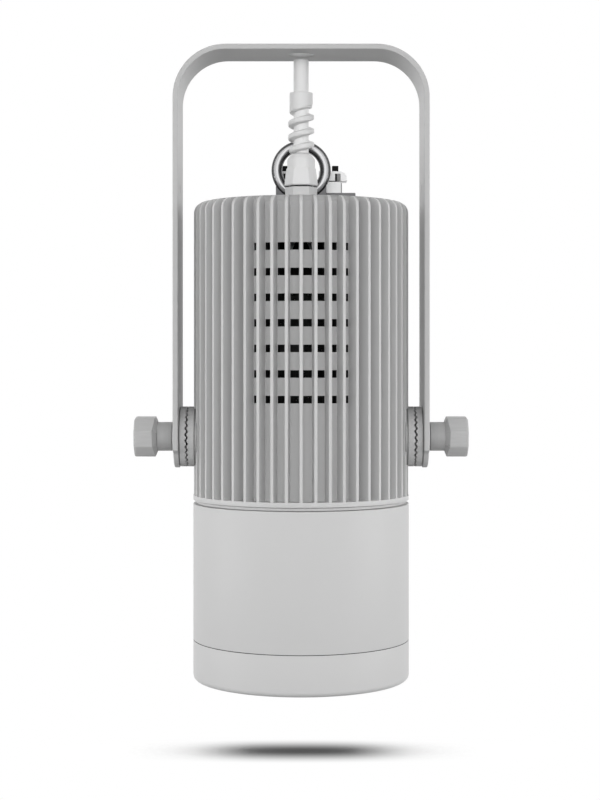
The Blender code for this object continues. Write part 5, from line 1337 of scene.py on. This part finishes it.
class WASHLIGHT_OT_cover(bpy.types.Operator):
    """Top cover, its screws and those of the eye and the rail"""

    bl_idname = "washlight.cover"
    bl_label = "Cover and screws"

    def execute(self, context):
        keep("top_cover", "grey_powder_coat")
        for number in range(1, 5):
            self.screw(f"cover_screw_{number}", far("top_cover").z)
        for number in range(1, 3):
            self.screw(f"rail_screw_{number}", far("socket_rail").z)
            keep(f"eye_screw_{number}", "plain_steel")
        for number in range(1, 4):
            keep(f"housing_screw_{number}", "plain_steel")
        return {"FINISHED"}

    def screw(self, node, seat):
        """A pan-head screw with a hexagon recess in its head."""
        low, high = BOX[node]
        radius = (high.x - low.x) / 2
        crown = high.z
        rise = crown - seat
        shank = 1.5 * MM
        bm = bmesh.new()
        side = [(shank, low.z), (shank, seat), (radius, seat), (radius, seat + 0.35 * rise),
                (0.92 * radius, seat + 0.72 * rise), (0.72 * radius, crown)]
        spin_profile(bm, side, 24, False)
        bmesh.ops.remove_doubles(bm, verts=bm.verts[:], dist=CLOSER)
        top = level_edges(bm, crown)
        foot = level_edges(bm, low.z)
        made = bmesh.ops.create_circle(bm, cap_ends=False, segments=6, radius=0.42 * radius,
                                       matrix=Matrix.Translation((0, 0, crown)))
        hexagon = list({edge for vert in made["verts"] for edge in vert.link_edges})
        bmesh.ops.bridge_loops(bm, edges=top + hexagon)
        sunk = moved_verts(bmesh.ops.extrude_edge_only(bm, edges=hexagon))
        bmesh.ops.translate(bm, vec=(0, 0, -0.55 * rise), verts=sunk)
        recess = [edge for edge in bm.edges if all(vert in sunk for vert in edge.verts)]
        bmesh.ops.contextual_create(bm, geom=recess)
        bmesh.ops.contextual_create(bm, geom=foot)
        face_outwards(bm)
        middle = (low + high) / 2
        transform(bm, Matrix.Translation((middle.x, middle.y, 0)))
        piece(node + "_finished", bm, "head", "plain_steel", node)


class WASHLIGHT_OT_safety_eye(bpy.types.Operator):
    """Steel ring for the safety bond, in its block"""

    bl_idname = "washlight.safety_eye"
    bl_label = "Safety eye"

    def execute(self, context):
        low, high = BOX["safety_eye"]
        reach = high.x - RING_WIRE
        centre_z = high.z - RING_WIRE - reach
        ring_bottom = centre_z - reach
        bm = bmesh.new()
        # Twenty-four corners round the wire, without the first one again at the end
        spin_profile(bm, arc(reach, 0.0, RING_WIRE, 0, 345, 23), 144)
        transform(bm, Matrix.Translation((0, 0, centre_z)) @ Matrix.Rotation(math.pi / 2, 4, "X"))
        shank = bmesh.new()
        spin_profile(shank, [(0.0, low.z), (3.0 * MM, low.z), (3.0 * MM, ring_bottom),
                             (0.0, ring_bottom)], 32, False)
        add_mesh(bm, shank)
        transform(bm, Matrix.Translation((0, (low.y + high.y) / 2, 0)))
        clean(bm)
        # Paints the reflection bands into the ring's steel colour
        paint_ring_reflection_bands()
        piece("bond_eye", bm, "head", "ring_steel", "safety_eye", 60)
        self.block(ring_bottom)
        return {"FINISHED"}

    def block(self, ring_bottom):
        """A low foot in front of a taller plate, with the ring lying in the corner between them."""
        low, high = BOX["eye_base"]
        plate_front = 14.6 * MM
        bm = bmesh.new()
        box_between(bm, (low.x, plate_front, low.z), high)
        box_between(bm, low, (high.x, plate_front + 0.5 * MM, ring_bottom - 3.6 * MM))
        bevel_edges(bm, bm.edges[:], 0.35 * MM)
        piece("eye_block", bm, "head", "dark_plated_metal", "eye_base", 40)


class WASHLIGHT_OT_data_sockets(bpy.types.Operator):
    """Data sockets with their flip caps, tabs and pins, and the painted shade of the caps' notches"""

    bl_idname = "washlight.data_sockets"
    bl_label = "Data sockets"

    def execute(self, context):
        keep("socket_rail", "dark_plated_metal")
        for side, word in SIDES:
            keep(word + "_socket", "white_plastic")
            keep(word + "_cap", "white_plastic")
            keep(word + "_cap_tab", "black_plastic", 0.25 * MM)
            keep(word + "_cap_pin", "plain_steel")
            self.latch(side, word)
            self.collar(word)
        return {"FINISHED"}

    def collar(self, word):
        """The dark collar that seals one socket on the rail, and a thin grey strip at the socket's corner
        that paints the shadow line there.
        """
        low, high = BOX[word + "_socket"]
        rail_low, rail_high = BOX["socket_rail"]
        front = near(word + "_cap").y
        lip = 1.7 * MM
        left_end = max(rail_low.x, low.x - lip)
        right_end = rail_high.x if word == "right" else high.x + lip
        collar = bevelled_box((left_end, front - 1.0 * MM, rail_high.z),
                              (right_end, front + 15.0 * MM, SINK_TOP + 7.9 * MM), 0.4 * MM)
        piece(word + "_socket_collar", collar, "head", "dark_plated_metal", None, 40)
        # A thin grey strip at the socket's front corner paints the shadow line there
        corner = high.x if word == "right" else low.x
        painted_corner_shadow = bevelled_box((corner - 0.3 * MM, low.y - 0.06 * MM, SINK_TOP + 7.8 * MM),
                            (corner + 0.3 * MM, low.y + 0.9 * MM, SINK_TOP + 13.6 * MM), 0.08 * MM, 1)
        piece(word + "_socket_seam", painted_corner_shadow, "head", "grey_latch_plastic", None, 40)

    def latch(self, side, word):
        """A notch on the cap's front, painted: a grey box paints its shaded inner face and a black box
        beside it paints its shadow.
        """
        low, high = BOX[word + "_cap"]
        middle = (near(word + "_socket").x + far(word + "_socket").x) / 2
        foot = low.z - 0.3 * MM
        top = high.z - 1.4 * MM
        # Name, place from the middle, half width, height over the cap, edge, its steps, finish, slot
        for name, out, half, proud, edge, segments, look, slot in (
                ("_cap_catch", 4.9, 1.0, 0.5, 0.15, 2, "grey_latch_plastic", "white_plastic"),
                ("_cap_slot", 3.3, 0.5, 0.25, 0.08, 1, "black_plastic", "black_plastic")):
            x = middle + side * out * MM
            bm = bevelled_box((x - half * MM, low.y - proud * MM, foot),
                              (x + half * MM, low.y + 0.2 * MM, top), edge * MM, segments)
            piece(word + name, bm, word + "_cap", look, None)


class WASHLIGHT_OT_inner_parts(bpy.types.Operator):
    """Fan, chassis, boards and wiring inside the heatsink"""

    bl_idname = "washlight.inner_parts"
    bl_label = "Inner parts"

    def execute(self, context):
        keep("fan_frame", "black_plastic", 0.2 * MM)
        keep("fan_rotor", "black_plastic")
        keep("chassis", "black_anodised_sheet")
        # The boards' near-black lacquer also paints the shade seen through the vents
        keep("power_board", "board_lacquer")
        keep("control_board", "board_lacquer")
        keep("transformer", "winding_tape", 0.3 * MM)
        keep("capacitor", "black_plastic", 0.3 * MM)
        keep("terminal_block", "black_plastic", 0.2 * MM)
        keep("gland_locknut", "plain_steel", 0.2 * MM)
        keep("gland_seal", "black_rubber")
        keep("inner_cable", "cable_sheath")
        return {"FINISHED"}


OPERATORS = (
    WASHLIGHT_OT_stage,
    WASHLIGHT_OT_supply_cable,
    WASHLIGHT_OT_strain_guard,
    WASHLIGHT_OT_cable_gland,
    WASHLIGHT_OT_yoke,
    WASHLIGHT_OT_tilt_discs,
    WASHLIGHT_OT_knobs,
    WASHLIGHT_OT_heatsink,
    WASHLIGHT_OT_lower_head,
    WASHLIGHT_OT_optics,
    WASHLIGHT_OT_cover,
    WASHLIGHT_OT_safety_eye,
    WASHLIGHT_OT_data_sockets,
    WASHLIGHT_OT_inner_parts,
)


class WASHLIGHT_PT_panel(bpy.types.Panel):
    """Sizes, colours and pieces of the wash light"""

    bl_idname = "WASHLIGHT_PT_panel"
    bl_label = "Wash light"
    bl_space_type = "VIEW_3D"
    bl_region_type = "UI"
    bl_category = "Wash light"

    def draw(self, context):
        layout = self.layout
        for group in (context.scene.washlight_sizes, context.scene.washlight_finish):
            column = layout.column()
            for name in group.bl_rna.properties.keys():
                if name not in ("rna_type", "name"):
                    column.prop(group, name)
        for operator in OPERATORS:
            layout.operator(operator.bl_idname)


CLASSES = (WashlightSizes, WashlightFinish, *OPERATORS, WASHLIGHT_PT_panel)


def register():
    for each in CLASSES:
        bpy.utils.register_class(each)
    bpy.types.Scene.washlight_sizes = bpy.props.PointerProperty(type=WashlightSizes)
    bpy.types.Scene.washlight_finish = bpy.props.PointerProperty(type=WashlightFinish)


def unregister():
    del bpy.types.Scene.washlight_finish
    del bpy.types.Scene.washlight_sizes
    for each in reversed(CLASSES):
        bpy.utils.unregister_class(each)


def main():
    register()
    bpy.ops.washlight.stage()
    bpy.ops.washlight.supply_cable()
    bpy.ops.washlight.strain_guard()
    bpy.ops.washlight.cable_gland()
    bpy.ops.washlight.yoke()
    bpy.ops.washlight.tilt_discs()
    bpy.ops.washlight.knobs()
    bpy.ops.washlight.heatsink()
    bpy.ops.washlight.lower_head()
    bpy.ops.washlight.optics()
    bpy.ops.washlight.cover()
    bpy.ops.washlight.safety_eye()
    bpy.ops.washlight.data_sockets()
    bpy.ops.washlight.inner_parts()


if __name__ == "__main__":
    main()
